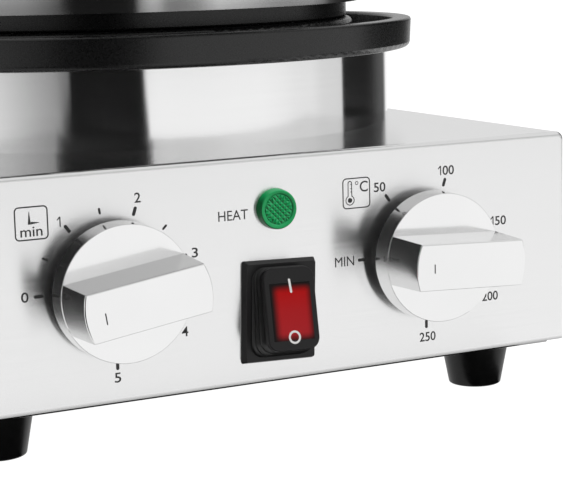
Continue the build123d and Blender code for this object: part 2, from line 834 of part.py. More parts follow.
# Hinge pin, its clips and the stop rod, all held by the bracket's ears
pin_end = ear_gap / 2 + ear_sheet + pin_overhang
groove_x = ear_gap / 2 + ear_sheet + seat_gap
groove_width = pin_clip + 2 * running_gap
with BuildPart() as hinge_pin:
    with BuildSketch(Plane(origin=(-pin_end, hinge_setback, hinge_z), z_dir=(1, 0, 0))):
        Circle(pin_radius)
    extrude(amount=2 * pin_end)
    chamfer(hinge_pin.edges().filter_by(GeomType.CIRCLE), pin_chamfer)
    for groove_at in (-groove_x - groove_width, groove_x):
        with BuildSketch(Plane(origin=(groove_at, hinge_setback, hinge_z), z_dir=(1, 0, 0))):
            Circle(pin_radius + pin_groove)
            Circle(pin_radius - pin_groove, mode=Mode.SUBTRACT)
        extrude(amount=groove_width, mode=Mode.SUBTRACT)
save(hinge_pin.part, "hinge_pin")

with BuildPart() as pin_clips:
    for clip_at in (-groove_x - pin_clip - running_gap, groove_x + running_gap):
        with BuildSketch(Plane(origin=(clip_at, hinge_setback, hinge_z), x_dir=(0, 1, 0), z_dir=(1, 0, 0))):
            Circle(pin_radius + pin_clip_rim)
            Circle(pin_radius - pin_groove + running_gap, mode=Mode.SUBTRACT)
            with Locations((0, -pin_radius)):
                Rectangle(2 * pin_radius - 3 * pin_groove, 2 * pin_radius, mode=Mode.SUBTRACT)
        extrude(amount=pin_clip)
save(pin_clips.part, "pin_clips")

with BuildPart() as lid_stop_rod:
    with BuildSketch(Plane(origin=(-ear_gap / 2 - ear_sheet, stop_y, stop_z), z_dir=(1, 0, 0))):
        Circle(stop_radius)
    extrude(amount=ear_gap + 2 * ear_sheet)
    for head_x, head_way in ((-ear_gap / 2 - ear_sheet, -1), (ear_gap / 2 + ear_sheet, 1)):
        with BuildSketch(Plane(origin=(head_x, stop_y, stop_z), z_dir=(1, 0, 0))):
            Circle(stop_radius + stop_head_rim)
        extrude(amount=head_way * stop_head)
save(lid_stop_rod.part, "lid_stop_rod")

# Hinge arm: two cheeks, a web and a saddle that fits the lid's round wall
cheek_out = ear_gap / 2 - moving_gap - bush_flange
cheek_in = cheek_out - arm_wall
saddle_back = lid_radius + saddle_wall
saddle_side = saddle_width / 2
saddle_front = sqrt(lid_radius**2 - saddle_side**2) - 1.0
bore_radius = pin_radius + running_gap + bush_wall
with BuildPart() as hinge_arm:
    for side in (-1, 1):
        with BuildSketch(Plane(origin=(side * cheek_in, 0, 0), x_dir=(0, 1, 0), z_dir=(1, 0, 0))):
            with BuildLine():
                Polyline(
                    (saddle_back - 1.0, saddle_z + saddle_height),
                    (hinge_setback - arm_flat, hinge_z + arm_boss),
                    (hinge_setback, hinge_z + arm_boss),
                )
                RadiusArc(
                    (hinge_setback, hinge_z + arm_boss),
                    (hinge_setback, hinge_z - arm_boss),
                    arm_boss,
                )
                Polyline(
                    (hinge_setback, hinge_z - arm_boss),
                    (hinge_setback - 6.0, hinge_z - arm_boss),
                    (saddle_back - 1.0, saddle_z),
                    (saddle_back - 1.0, saddle_z + saddle_height),
                )
            make_face()
            with Locations((hinge_setback, hinge_z)):
                Circle(bore_radius + hole_gap, mode=Mode.SUBTRACT)
        extrude(amount=side * arm_wall)
    with BuildSketch(Plane.XY.offset(saddle_z)):
        with Locations((0, (saddle_front + saddle_back) / 2)):
            Rectangle(saddle_width, saddle_back - saddle_front)
        Circle(lid_radius + 0.1, mode=Mode.SUBTRACT)
    extrude(amount=saddle_height)
    with BuildSketch(Plane.XY.offset(web_z)):
        with Locations((0, (saddle_back + hinge_setback - arm_flat) / 2 - 0.5)):
            Rectangle(2 * cheek_in + 1.0, hinge_setback - arm_flat - saddle_back + 1.0)
    extrude(amount=web_sheet)
    with Locations(*[Plane(origin=(x, saddle_back, z), z_dir=(0, 1, 0)) for x, z in arm_bolts]):
        Hole(radius=m5 + hole_gap, depth=2 * saddle_wall)
    with Locations(Plane(origin=(0, saddle_back, lid_wire_z), z_dir=(0, 1, 0))):
        Hole(radius=lid_grommet_radius + seat_gap, depth=2 * saddle_wall)
save(hinge_arm.part, "hinge_arm")

with BuildPart() as hinge_arm_bolts:
    for x, z in arm_bolts:
        with BuildSketch(Plane(origin=(x, saddle_back, z), z_dir=(0, 1, 0))):
            Circle(m5_head)
        extrude(amount=m5_head_height)
        inner_wall_y = sqrt((lid_radius - lid_sheet) ** 2 - (abs(x) + m5_nut) ** 2) - 1.5 * seat_gap
        with BuildSketch(Plane(origin=(x, saddle_back, z), z_dir=(0, 1, 0))):
            Circle(m5)
        extrude(amount=-(saddle_back - inner_wall_y + m5_nut_height + screw_past / 3))
        with BuildSketch(Plane(origin=(x, inner_wall_y, z), z_dir=(0, 1, 0))):
            RegularPolygon(m5_nut, 6)
            Circle(m5 + hole_gap, mode=Mode.SUBTRACT)
        extrude(amount=-m5_nut_height)
save(hinge_arm_bolts.part, "hinge_arm_bolts")

with BuildPart() as lid_grommet:
    grommet_in = lid_radius - lid_sheet - 1.0
    for disc_y, disc_length, disc_radius in (
        (grommet_in - grommet_lip_height, grommet_lip_height, lid_grommet_radius + grommet_lip - 1.0),
        (grommet_in, saddle_back - grommet_in, lid_grommet_radius),
        (saddle_back, grommet_lip_height, lid_grommet_radius + grommet_lip - 1.0),
    ):
        with BuildSketch(Plane(origin=(0, disc_y, lid_wire_z), z_dir=(0, 1, 0))):
            Circle(disc_radius)
            Circle(lid_grommet_radius - grommet_wall, mode=Mode.SUBTRACT)
        extrude(amount=disc_length)
save(lid_grommet.part, "lid_grommet")

with BuildPart() as hinge_bushes:
    for side in (-1, 1):
        with BuildSketch(Plane(origin=(side * cheek_in, hinge_setback, hinge_z), z_dir=(1, 0, 0))):
            Circle(bore_radius)
            Circle(pin_radius + running_gap, mode=Mode.SUBTRACT)
        extrude(amount=side * arm_wall)
        with BuildSketch(Plane(origin=(side * cheek_out, hinge_setback, hinge_z), z_dir=(1, 0, 0))):
            Circle(bore_radius + bush_flange_rim)
            Circle(pin_radius + running_gap, mode=Mode.SUBTRACT)
        extrude(amount=side * bush_flange)
save(hinge_bushes.part, "hinge_bushes")

# Torsion springs on the pin. One leg stands on the bracket's foot and the other
# lies under the arm's web, so the springs carry part of the lid's weight.
coil_length = spring_pitch * (spring_turns + 0.25)
leg_drop = hinge_z - base_top - bracket_foot - seat_gap
leg_tip_y = saddle_back + 6.0
leg_wire = spring_wire - seat_gap / 10
for side, spring_name in ((-1, "hinge_spring_left"), (1, "hinge_spring_right")):
    coil_plane = Plane(
        origin=(side * (cheek_in - 3.0), hinge_setback, hinge_z), x_dir=(0, 1, 0), z_dir=(-side, 0, 0)
    )
    coil_line = coil_plane.location * Helix(spring_pitch, coil_length, spring_radius, lefthand=side > 0)
    with BuildPart() as hinge_spring:
        with BuildSketch(Plane(origin=coil_line @ 0, z_dir=coil_line % 0)):
            Circle(spring_wire)
        sweep(path=coil_line, is_frenet=True)
        with BuildSketch(Plane(origin=coil_line @ 0, z_dir=(0, 0, -1))):
            Circle(leg_wire)
        extrude(amount=leg_drop)
        with BuildSketch(Plane(origin=coil_line @ 1, z_dir=(0, -1, 0))):
            Circle(leg_wire)
        extrude(amount=hinge_setback - leg_tip_y)
        with Locations(coil_line @ 0, coil_line @ 1):
            Sphere(spring_wire + seat_gap / 4)
    save(hinge_spring.part, spring_name)

# Handle: a bent steel rod with a moulded grip and two spacers on the lid's wall
handle_x = handle_span / 2
handle_y = -(lid_radius + handle_reach)
rod_end_y = -(sqrt((lid_radius - lid_sheet) ** 2 - (handle_x + rod_nut) ** 2) - 2 * seat_gap)
with BuildPart() as handle_rod_part:
    with BuildLine():
        rod_line = FilletPolyline(
            (-handle_x, rod_end_y + rod_thread_end, handle_z),
            (-handle_x, handle_y, handle_z),
            (handle_x, handle_y, handle_z),
            (handle_x, rod_end_y + rod_thread_end, handle_z),
            radius=handle_bend,
        )
    with BuildSketch(Plane(origin=rod_line @ 0, z_dir=rod_line % 0)):
        Circle(handle_rod)
    sweep(path=rod_line)
save(handle_rod_part.part, "handle_rod")

with BuildPart() as handle_grip:
    with BuildSketch(Plane(origin=(0, handle_y, handle_z), x_dir=(1, 0, 0), z_dir=(0, 0, 1))):
        with BuildLine():
            ThreePointArc(
                (-grip_length / 2, grip_waist), (0, grip_radius), (grip_length / 2, grip_waist)
            )
            Polyline(
                (grip_length / 2, grip_waist),
                (grip_length / 2, 0),
                (-grip_length / 2, 0),
                (-grip_length / 2, grip_waist),
            )
        make_face()
    revolve(axis=Axis((0, handle_y, handle_z), (1, 0, 0)))
    fillet(handle_grip.edges().filter_by(GeomType.CIRCLE).group_by(Axis.X)[0], grip_edge)
    fillet(handle_grip.edges().filter_by(GeomType.CIRCLE).group_by(Axis.X)[-1], grip_edge)
    with BuildSketch(Plane(origin=(-grip_length / 2, handle_y, handle_z), z_dir=(1, 0, 0))):
        Circle(handle_rod + hole_gap)
    extrude(amount=grip_length, mode=Mode.SUBTRACT)
save(handle_grip.part, "handle_grip")

with BuildPart() as handle_spacers:
    wall_near_y = sqrt(lid_radius**2 - (handle_x - boss_radius) ** 2)
    for side in (-1, 1):
        spacer_end = (side * handle_x, -wall_near_y - boss_length, handle_z)
        with BuildSketch(Plane(origin=spacer_end, z_dir=(0, 1, 0))):
            Circle(boss_radius)
            Circle(handle_rod + hole_gap, mode=Mode.SUBTRACT)
        extrude(amount=boss_length + wall_near_y / 4)
    with BuildSketch(Plane.XY.offset(handle_z - 2 * boss_radius)):
        Circle(lid_radius + 0.1)
    extrude(amount=4 * boss_radius, mode=Mode.SUBTRACT)
save(handle_spacers.part, "handle_spacers")

with BuildPart() as handle_nuts:
    for side in (-1, 1):
        with BuildSketch(Plane(origin=(side * handle_x, rod_end_y, handle_z), z_dir=(0, 1, 0))):
            RegularPolygon(rod_nut, 6)
            Circle(handle_rod + hole_gap, mode=Mode.SUBTRACT)
        extrude(amount=rod_nut_height)
save(handle_nuts.part, "handle_nuts")


def turn_knob(centre_x, turned):
    """A round knob with a grip bar right across it, hollow behind, on a flatted shaft."""
    back = front_at(centre_x, dial_z, knob_gap, turned)
    with BuildPart() as knob:
        with BuildSketch(back):
            Circle(knob_radius)
        with BuildSketch(back.offset(knob_skirt)):
            Circle(knob_face_radius)
        loft()
        fillet(knob.edges().sort_by(Axis.Y)[0], knob_face_edge)
        with BuildSketch(back.offset(knob_skirt - 1.0)):
            Circle(knob_face_radius - 0.1)
            Rectangle(2 * knob_radius, grip_bar_root, mode=Mode.INTERSECT)
        with BuildSketch(back.offset(knob_length)):
            Circle(grip_bar_radius)
            Rectangle(2 * knob_radius, grip_bar_top, mode=Mode.INTERSECT)
        loft()
        fillet(knob.faces().sort_by(Axis.Y)[0].edges(), knob_edge)
        with BuildSketch(back):
            Circle(knob_radius - knob_wall)
            Circle(knob_boss, mode=Mode.SUBTRACT)
        extrude(amount=knob_hollow, mode=Mode.SUBTRACT)
        with BuildSketch(back):
            Circle(shaft_radius + running_gap)
            with Locations((0, shaft_radius - shaft_flat + running_gap + shaft_radius)):
                Rectangle(4 * shaft_radius, 2 * shaft_radius, mode=Mode.SUBTRACT)
        extrude(amount=shaft_grip + 1.0, mode=Mode.SUBTRACT)
    return knob.part


def control_shaft(centre_x, turned):
    """The flatted steel shaft that a knob sits on, turning in its control's body."""
    tip = front_at(centre_x, dial_z, knob_gap + shaft_grip, turned)
    with BuildPart() as shaft:
        with BuildSketch(tip):
            Circle(shaft_radius)
        extrude(amount=-(shaft_grip + knob_gap + sheet + shaft_in_body))
        with BuildSketch(tip):
            with Locations((0, shaft_radius - shaft_flat + shaft_radius)):
                Rectangle(4 * shaft_radius, 2 * shaft_radius)
        extrude(amount=-shaft_grip, mode=Mode.SUBTRACT)
        chamfer(shaft.edges().sort_by(Axis.Y)[0], shaft_chamfer)
    return shaft.part


save(turn_knob(-dial_x, timer_turned), "timer_knob")
save(turn_knob(dial_x, thermostat_turned), "thermostat_knob")
save(control_shaft(-dial_x, timer_turned), "timer_shaft")
save(control_shaft(dial_x, thermostat_turned), "thermostat_shaft")


# Two pan-head screws hidden behind each knob
with BuildPart() as control_screws:
    for control_x in (-dial_x, dial_x):
        for screw_side in (-1, 1):
            head = front_at(control_x + screw_side * control_screw_spacing / 2, dial_z)
            with BuildSketch(head):
                Circle(m3_head)
            extrude(amount=m3_head_height)
            with BuildSketch(head):
                Circle(m3)
            extrude(amount=-(sheet + screw_past))
save(control_screws.part, "control_screws")

# Timer: a clockwork in a box between two plates, with two switch tags
with BuildPart() as timer_body:
    timer_back = front_at(-dial_x, dial_z, -sheet)
    with BuildSketch(timer_back):
        Rectangle(timer_size + timer_case_inset, timer_size)
    extrude(amount=-timer_plate)
    with BuildSketch(timer_back.offset(-timer_plate)):
        RectangleRounded(timer_size - timer_case_inset, timer_size - timer_case_inset, 2 * timer_plate)
    extrude(amount=-(timer_depth - 2 * timer_plate))
    with BuildSketch(timer_back.offset(-timer_depth + timer_plate)):
        Rectangle(timer_size, timer_size)
    extrude(amount=-timer_plate)
    with BuildSketch(timer_back.offset(-timer_depth)):
        with GridLocations(timer_size / 2.5, 1, 2, 1):
            Rectangle(tag_width, tag_sheet)
    extrude(amount=-tag_length)
    with BuildSketch(timer_back):
        Circle(shaft_radius + running_gap)
        with GridLocations(control_screw_spacing, 1, 2, 1):
            Circle(m3 + hole_gap)
    extrude(amount=-control_bore, mode=Mode.SUBTRACT)
save(timer_body.part, "timer_body")

# Thermostat: a capillary control with a round diaphragm housing behind
with BuildPart() as thermostat_body:
    thermostat_back = front_at(dial_x, dial_z, -sheet)
    with BuildSketch(thermostat_back):
        Rectangle(thermostat_size, thermostat_tall)
    extrude(amount=-thermostat_depth)
    fillet(thermostat_body.edges().filter_by(Axis.Y), thermostat_corner)
    with BuildSketch(thermostat_back.offset(-thermostat_depth)):
        Circle(diaphragm_radius)
    extrude(amount=-diaphragm_depth)
    with BuildSketch(thermostat_back.offset(-thermostat_depth)):
        with GridLocations(1, 2 * diaphragm_radius + thermostat_corner, 1, 2):
            Rectangle(tag_width, tag_sheet)
    extrude(amount=-tag_length)
    with BuildSketch(thermostat_back):
        Circle(shaft_radius + running_gap)
        with GridLocations(control_screw_spacing, 1, 2, 1):
            Circle(m3 + hole_gap)
    extrude(amount=-control_bore, mode=Mode.SUBTRACT)
save(thermostat_body.part, "thermostat_body")

# Sensor bulb under the lower plate, with its capillary down to the thermostat
bulb_z = lower_back_z - bulb_radius - seat_gap
capillary_z = base_top - capillary_drop
capillary_end = front_y + sheet + thermostat_depth + diaphragm_depth
with BuildPart() as sensor_bulb:
    with BuildSketch(Plane(origin=(bulb_start, bulb_y, bulb_z), z_dir=(1, 0, 0))):
        Circle(bulb_radius)
    extrude(amount=bulb_length)
    fillet(sensor_bulb.edges().filter_by(GeomType.CIRCLE), bulb_radius * 0.6)
    with BuildLine():
        capillary_line = FilletPolyline(
            (bulb_start + 0.5, bulb_y, bulb_z),
            (0, bulb_y, bulb_z),
            (0, bulb_y, capillary_z),
            (dial_x, capillary_end + capillary_back, capillary_z),
            (dial_x, capillary_end + capillary_back, dial_z),
            (dial_x, capillary_end, dial_z),
            radius=capillary_bend,
        )
    with BuildSketch(Plane(origin=capillary_line @ 0, z_dir=capillary_line % 0)):
        Circle(capillary_radius)
    sweep(path=capillary_line)
save(sensor_bulb.part, "sensor_bulb")

# Pilot lamp: a green lens in front, its holder through the panel and a nut behind
with BuildPart() as lamp_lens:
    lamp_face = front_at(0, lamp_z)
    with BuildSketch(lamp_face):
        Circle(lamp_flange_radius)
    extrude(amount=lamp_flange)
    with BuildSketch(lamp_face.offset(lamp_flange)):
        Circle((lamp_lens_radius + lamp_flange_radius) / 2)
    with BuildSketch(lamp_face.offset(lamp_stand)):
        Circle(lamp_lens_radius)
    loft()
    fillet(lamp_lens.edges().sort_by(Axis.Y)[0], lamp_edge)
save(lamp_lens.part, "lamp_lens")

with BuildPart() as lamp_holder:
    with BuildSketch(lamp_face):
        Circle(lamp_hole_radius - hole_gap)
    extrude(amount=-lamp_body_length)
    with BuildSketch(lamp_face.offset(-lamp_body_length)):
        with GridLocations(lamp_hole_radius, 1, 2, 1):
            Rectangle(tag_sheet, lamp_tag_width)
    extrude(amount=-lamp_tag_length)
save(lamp_holder.part, "lamp_holder")

with BuildPart() as lamp_nut:
    with BuildSketch(lamp_face.offset(-sheet)):
        RegularPolygon(lamp_nut_radius, 6)
        Circle(lamp_hole_radius, mode=Mode.SUBTRACT)
    extrude(amount=-lamp_nut_height)
save(lamp_nut.part, "lamp_nut")

# Rocker switch: flange, rubber boot, moving cap with a red window, and body
switch_face = front_at(0, switch_z, turned=switch_turned)
rocker_pivot = switch_face.offset(rocker_pivot_stand).origin
sleeve_width = switch_cut_width - 2 * seat_gap
sleeve_tall = switch_cut_tall - 2 * seat_gap
well_width = sleeve_width - 2 * switch_well_wall
well_tall = sleeve_tall - 2 * switch_well_wall
with BuildPart() as switch_frame:
    with BuildSketch(switch_face):
        RectangleRounded(switch_width, switch_tall, switch_corner)
    with BuildSketch(switch_face.offset(switch_plate)):
        RectangleRounded(switch_width - 2 * switch_bevel, switch_tall - 2 * switch_bevel, switch_corner)
    loft()
    with BuildSketch(switch_face):
        Rectangle(sleeve_width, sleeve_tall)
    extrude(amount=switch_plate, mode=Mode.SUBTRACT)
save(switch_frame.part, "switch_frame")

with BuildPart() as switch_body:
    with BuildSketch(switch_face.offset(switch_plate - switch_recess)):
        Rectangle(sleeve_width - 2 * hole_gap, sleeve_tall - 2 * hole_gap)
    extrude(amount=-(switch_plate - switch_recess + switch_depth))
    with BuildSketch(switch_face.offset(switch_plate - switch_recess)):
        Rectangle(well_width, well_tall)
    extrude(amount=-(switch_plate - switch_recess + switch_well_depth), mode=Mode.SUBTRACT)
    with BuildSketch(switch_face.offset(-switch_depth)):
        with GridLocations(well_width / 2, tag_width + 2 * switch_well_wall, 2, 3):
            Rectangle(tag_sheet, tag_width)
    extrude(amount=-tag_length)
    pivot_axis_plane = Plane(
        origin=rocker_pivot - switch_face.x_dir * sleeve_width / 2, z_dir=switch_face.x_dir
    )
    with BuildSketch(pivot_axis_plane):
        Circle(pivot_pin + running_gap)
    extrude(amount=sleeve_width, mode=Mode.SUBTRACT)
save(switch_body.part, "switch_body")

boot_tall = rocker_tall - switch_well_wall
with BuildPart() as switch_boot:
    for step in range(2):
        grow = boot_rim - boot_rim_step * step
        with BuildSketch(switch_face.offset(switch_plate + step * boot_step)):
            RectangleRounded(rocker_width + 2 * grow, boot_tall + 2 * grow, rocker_corner + grow)
            RectangleRounded(sleeve_width - 1.4, boot_tall - 0.5, rocker_corner, mode=Mode.SUBTRACT)
        extrude(amount=boot_step)
save(switch_boot.part, "switch_boot")

rocker_lean = radians(rocker_tilt)
rocker_plane = Plane(
    origin=rocker_pivot,
    x_dir=switch_face.x_dir,
    z_dir=switch_face.z_dir * cos(rocker_lean) + switch_face.y_dir * sin(rocker_lean),
)
face_height = rocker_stand - rocker_pivot_stand
with BuildPart() as switch_rocker:
    with BuildSketch(rocker_plane.offset(face_height - rocker_face)):
        RectangleRounded(rocker_width, rocker_tall, rocker_corner)
    extrude(amount=rocker_face)
    fillet(switch_rocker.faces().sort_by(Axis.Y)[0].edges(), rocker_edge)
    with BuildSketch(rocker_plane.offset(-rocker_stem_end)):
        Rectangle(well_width - 2 * rocker_stem_gap, well_tall - 6 * rocker_stem_gap)
    extrude(amount=face_height - rocker_face + rocker_stem_end)
    with BuildSketch(pivot_axis_plane.offset(pivot_pin_gap)):
        Circle(pivot_pin)
    extrude(amount=sleeve_width - 2 * pivot_pin_gap)
    with BuildSketch(rocker_plane.offset(face_height)):
        with Locations((0, -window_drop)):
            Rectangle(window_width, window_tall)
    extrude(amount=-window_sheet, mode=Mode.SUBTRACT)
save(switch_rocker.part, "switch_rocker")

with BuildPart() as switch_window:
    with BuildSketch(rocker_plane.offset(face_height - window_sheet)):
        with Locations((0, -window_drop)):
            Rectangle(window_width - 2 * window_fit, window_tall - 2 * window_fit)
    extrude(amount=window_sheet)
save(switch_window.part, "switch_window")

# Ceramic terminal block on the bottom plate near the cable gland
block_x = gland_x - block_from_gland
block_y = rear_y - block_from_back
with BuildPart() as terminal_block:
    with BuildSketch(Plane(origin=(block_x, block_y, base_bottom))):
        Rectangle(block_length, block_width)
    extrude(amount=block_height)
    fillet(terminal_block.edges().filter_by(Axis.Z), block_corner)
    with BuildSketch(Plane(origin=(block_x, block_y, base_bottom + block_height))):
        with GridLocations(block_pitch, block_width / 2, 3, 2):
            Circle(block_screw_radius)
    extrude(amount=-block_screw_depth, mode=Mode.SUBTRACT)
    block_front = (block_x, block_y - block_width / 2, base_bottom + block_screw_depth)
    with BuildSketch(Plane(origin=block_front, x_dir=(1, 0, 0), z_dir=(0, -1, 0))):
        with GridLocations(block_pitch, 1, 3, 1):
            Circle(block_wire_radius)
    extrude(amount=-block_width, mode=Mode.SUBTRACT)
save(terminal_block.part, "terminal_block")

# Cable gland: body through the back wall, locknut inside, clamping cap outside
gland_centre = (gland_x, rear_y, base_bottom + gland_height)
gland_plane = Plane(origin=gland_centre, x_dir=(-1, 0, 0), z_dir=(0, 1, 0))
with BuildPart() as cable_gland:
    with BuildSketch(gland_plane):
        RegularPolygon(gland_hex / 2, 6, major_radius=False)
    extrude(amount=gland_collar)
    with BuildSketch(gland_plane.offset(gland_collar)):
        Circle(gland_thread - gland_neck_step)
    extrude(amount=gland_neck)
    with BuildSketch(gland_plane):
        Circle(gland_thread)
    extrude(amount=-(sheet + gland_inside))
    with BuildSketch(gland_plane.offset(gland_collar + gland_neck)):
        Circle(gland_bore)
    extrude(amount=-2 * gland_reach, mode=Mode.SUBTRACT)
save(cable_gland.part, "cable_gland")

with BuildPart() as gland_cap:
    with BuildSketch(gland_plane.offset(gland_collar)):
        RegularPolygon(gland_hex / 2 - 0.5, 6, major_radius=False)
    extrude(amount=gland_cap_hex)
    with BuildSketch(gland_plane.offset(gland_collar + gland_cap_hex)):
        Circle(gland_hex / 2 - 0.5)
    with BuildSketch(gland_plane.offset(gland_reach)):
        Circle(gland_bore + gland_cap_wall)
    loft()
    with BuildSketch(gland_plane.offset(gland_collar)):
        Circle(gland_thread - gland_neck_step + hole_gap)
    extrude(amount=gland_neck + seat_gap, mode=Mode.SUBTRACT)
    with BuildSketch(gland_plane.offset(gland_collar)):
        Circle(gland_bore)
    extrude(amount=gland_reach, mode=Mode.SUBTRACT)
save(gland_cap.part, "gland_cap")

with BuildPart() as gland_locknut:
    with BuildSketch(gland_plane.offset(-sheet)):
        RegularPolygon(gland_hex / 2, 6, major_radius=False)
        Circle(gland_thread + hole_gap, mode=Mode.SUBTRACT)
    extrude(amount=-gland_nut_height)
save(gland_locknut.part, "gland_locknut")
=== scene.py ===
import json
from math import atan2, cos, degrees, pi, radians, sin, tan

import bmesh
import bpy
from mathutils import Matrix, Vector


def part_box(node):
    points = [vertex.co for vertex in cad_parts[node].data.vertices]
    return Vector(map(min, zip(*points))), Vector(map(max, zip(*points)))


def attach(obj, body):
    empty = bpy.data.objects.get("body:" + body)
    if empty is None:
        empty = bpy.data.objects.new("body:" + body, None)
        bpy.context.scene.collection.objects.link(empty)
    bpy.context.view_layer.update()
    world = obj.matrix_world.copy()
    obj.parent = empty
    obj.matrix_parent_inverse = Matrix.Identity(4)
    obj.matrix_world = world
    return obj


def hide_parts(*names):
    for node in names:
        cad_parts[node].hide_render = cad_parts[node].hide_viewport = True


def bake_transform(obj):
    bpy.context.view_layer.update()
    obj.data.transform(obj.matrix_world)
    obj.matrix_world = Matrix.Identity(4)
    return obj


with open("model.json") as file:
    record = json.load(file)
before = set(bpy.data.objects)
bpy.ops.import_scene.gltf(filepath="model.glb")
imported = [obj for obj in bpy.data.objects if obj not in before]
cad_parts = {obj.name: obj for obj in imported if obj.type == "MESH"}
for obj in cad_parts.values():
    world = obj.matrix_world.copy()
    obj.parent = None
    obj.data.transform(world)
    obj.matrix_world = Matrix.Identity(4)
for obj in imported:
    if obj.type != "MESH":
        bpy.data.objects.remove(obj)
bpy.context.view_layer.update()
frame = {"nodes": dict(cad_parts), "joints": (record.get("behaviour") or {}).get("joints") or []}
nodes = frame["nodes"]


# The studio: a pale floor that runs off to white and an even white surround.
# The floor keeps the shadow of the object.
def new_material(name):
    """A material, its emptied node tree and its output node."""
    material = bpy.data.materials.new(name)
    material.use_nodes = True
    tree = material.node_tree
    tree.nodes.clear()
    return material, tree, tree.nodes.new("ShaderNodeOutputMaterial")


def join(tree, *pairs):
    """Links (from socket, to socket) pairs."""
    for source, target in pairs:
        tree.links.new(source, target)


floor_material, tree, output = new_material("pale_floor")
path = tree.nodes.new("ShaderNodeLightPath")
paper = tree.nodes.new("ShaderNodeBsdfDiffuse")
paper.inputs["Color"].default_value = (0.86, 0.86, 0.86, 1)
lit = tree.nodes.new("ShaderNodeEmission")
lit.inputs["Strength"].default_value = 1.3
even_white = tree.nodes.new("ShaderNodeEmission")
pale = tree.nodes.new("ShaderNodeMixShader")
pale.inputs["Fac"].default_value = 0.78
seen = tree.nodes.new("ShaderNodeMath")
seen.operation = "MAXIMUM"
mirrored = tree.nodes.new("ShaderNodeMixShader")
plain = tree.nodes.new("ShaderNodeMixShader")
join(
    tree,
    (paper.outputs[0], pale.inputs[1]),
    (lit.outputs[0], pale.inputs[2]),
    (path.outputs["Is Glossy Ray"], seen.inputs[0]),
    (path.outputs["Is Transmission Ray"], seen.inputs[1]),
    (path.outputs["Is Camera Ray"], plain.inputs["Fac"]),
    (paper.outputs[0], plain.inputs[1]),
    (pale.outputs[0], plain.inputs[2]),
    (seen.outputs[0], mirrored.inputs["Fac"]),
    (plain.outputs[0], mirrored.inputs[1]),
    (even_white.outputs[0], mirrored.inputs[2]),
    (mirrored.outputs[0], output.inputs["Surface"]),
)
bm = bmesh.new()
bmesh.ops.create_grid(bm, x_segments=1, y_segments=1, size=40.0)
floor_mesh = bpy.data.meshes.new("floor")
bm.to_mesh(floor_mesh)
bm.free()
floor = bpy.data.objects.new("floor", floor_mesh)
bpy.context.scene.collection.objects.link(floor)
floor.location.z = -0.0002
floor.data.materials.append(floor_material)

world = bpy.data.worlds.new("white_surround")
bpy.context.scene.world = world
world.use_nodes = True
world.node_tree.nodes.clear()
path = world.node_tree.nodes.new("ShaderNodeLightPath")
output = world.node_tree.nodes.new("ShaderNodeOutputWorld")
even = world.node_tree.nodes.new("ShaderNodeBackground")
even.inputs["Strength"].default_value = 0.62
white = world.node_tree.nodes.new("ShaderNodeBackground")
white.inputs["Strength"].default_value = 1.0
seen = world.node_tree.nodes.new("ShaderNodeMath")
seen.operation = "MAXIMUM"
seen_through = world.node_tree.nodes.new("ShaderNodeMath")
seen_through.operation = "MAXIMUM"
choice = world.node_tree.nodes.new("ShaderNodeMixShader")
join(
    world.node_tree,
    (path.outputs["Is Camera Ray"], seen.inputs[0]),
    (path.outputs["Is Glossy Ray"], seen.inputs[1]),
    (seen.outputs[0], seen_through.inputs[0]),
    (path.outputs["Is Transmission Ray"], seen_through.inputs[1]),
    (seen_through.outputs[0], choice.inputs["Fac"]),
    (even.outputs[0], choice.inputs[1]),
    (white.outputs[0], choice.inputs[2]),
    (choice.outputs[0], output.inputs["Surface"]),
)
bpy.context.scene.view_settings.view_transform = "Standard"

# Two large soft lamps, one over the front and one to the right. They show in no
# metal, and both point at the drum.
lit_point = Vector((0, 0, 0.1))
for lamp_name, lamp_at, lamp_size, lamp_power in (
    ("overhead_lamp", (-0.3, -0.5, 1.6), 1.4, 9.0),
    ("side_lamp", (1.3, -0.9, 0.9), 1.0, 4.0),
):
    lamp = bpy.data.lights.new(lamp_name, "AREA")
    lamp.shape = "DISK"
    lamp.size = lamp_size
    lamp.energy = lamp_power
    lamp_object = bpy.data.objects.new(lamp_name, lamp)
    lamp_object.location = lamp_at
    aim = lit_point - Vector(lamp_at)
    lamp_object.rotation_mode = "QUATERNION"
    lamp_object.rotation_quaternion = aim.to_track_quat("-Z", "Y")
    lamp_object.visible_glossy = False
    bpy.context.scene.collection.objects.link(lamp_object)


# Cards and cloths round the object, seen only in its metal: four rings, one over
# the other, whose grey changes with the direction, a black card at the left of the
# front, a dark ceiling, and black cloths on the floor by the front of the base.
def grey_stops(ramp, stops):
    """Sets a colour ramp to (value, grey) stops that run over 0 to 1 from the first to the last."""
    first, last = stops[0][0], stops[-1][0]
    for number, (value, level) in enumerate(stops):
        position = (value - first) / (last - first)
        if number in (0, len(stops) - 1):
            stop = ramp.elements[0 if number == 0 else -1]
            stop.position = position
        else:
            stop = ramp.elements.new(position)
        stop.color = (level, level, level, 1)


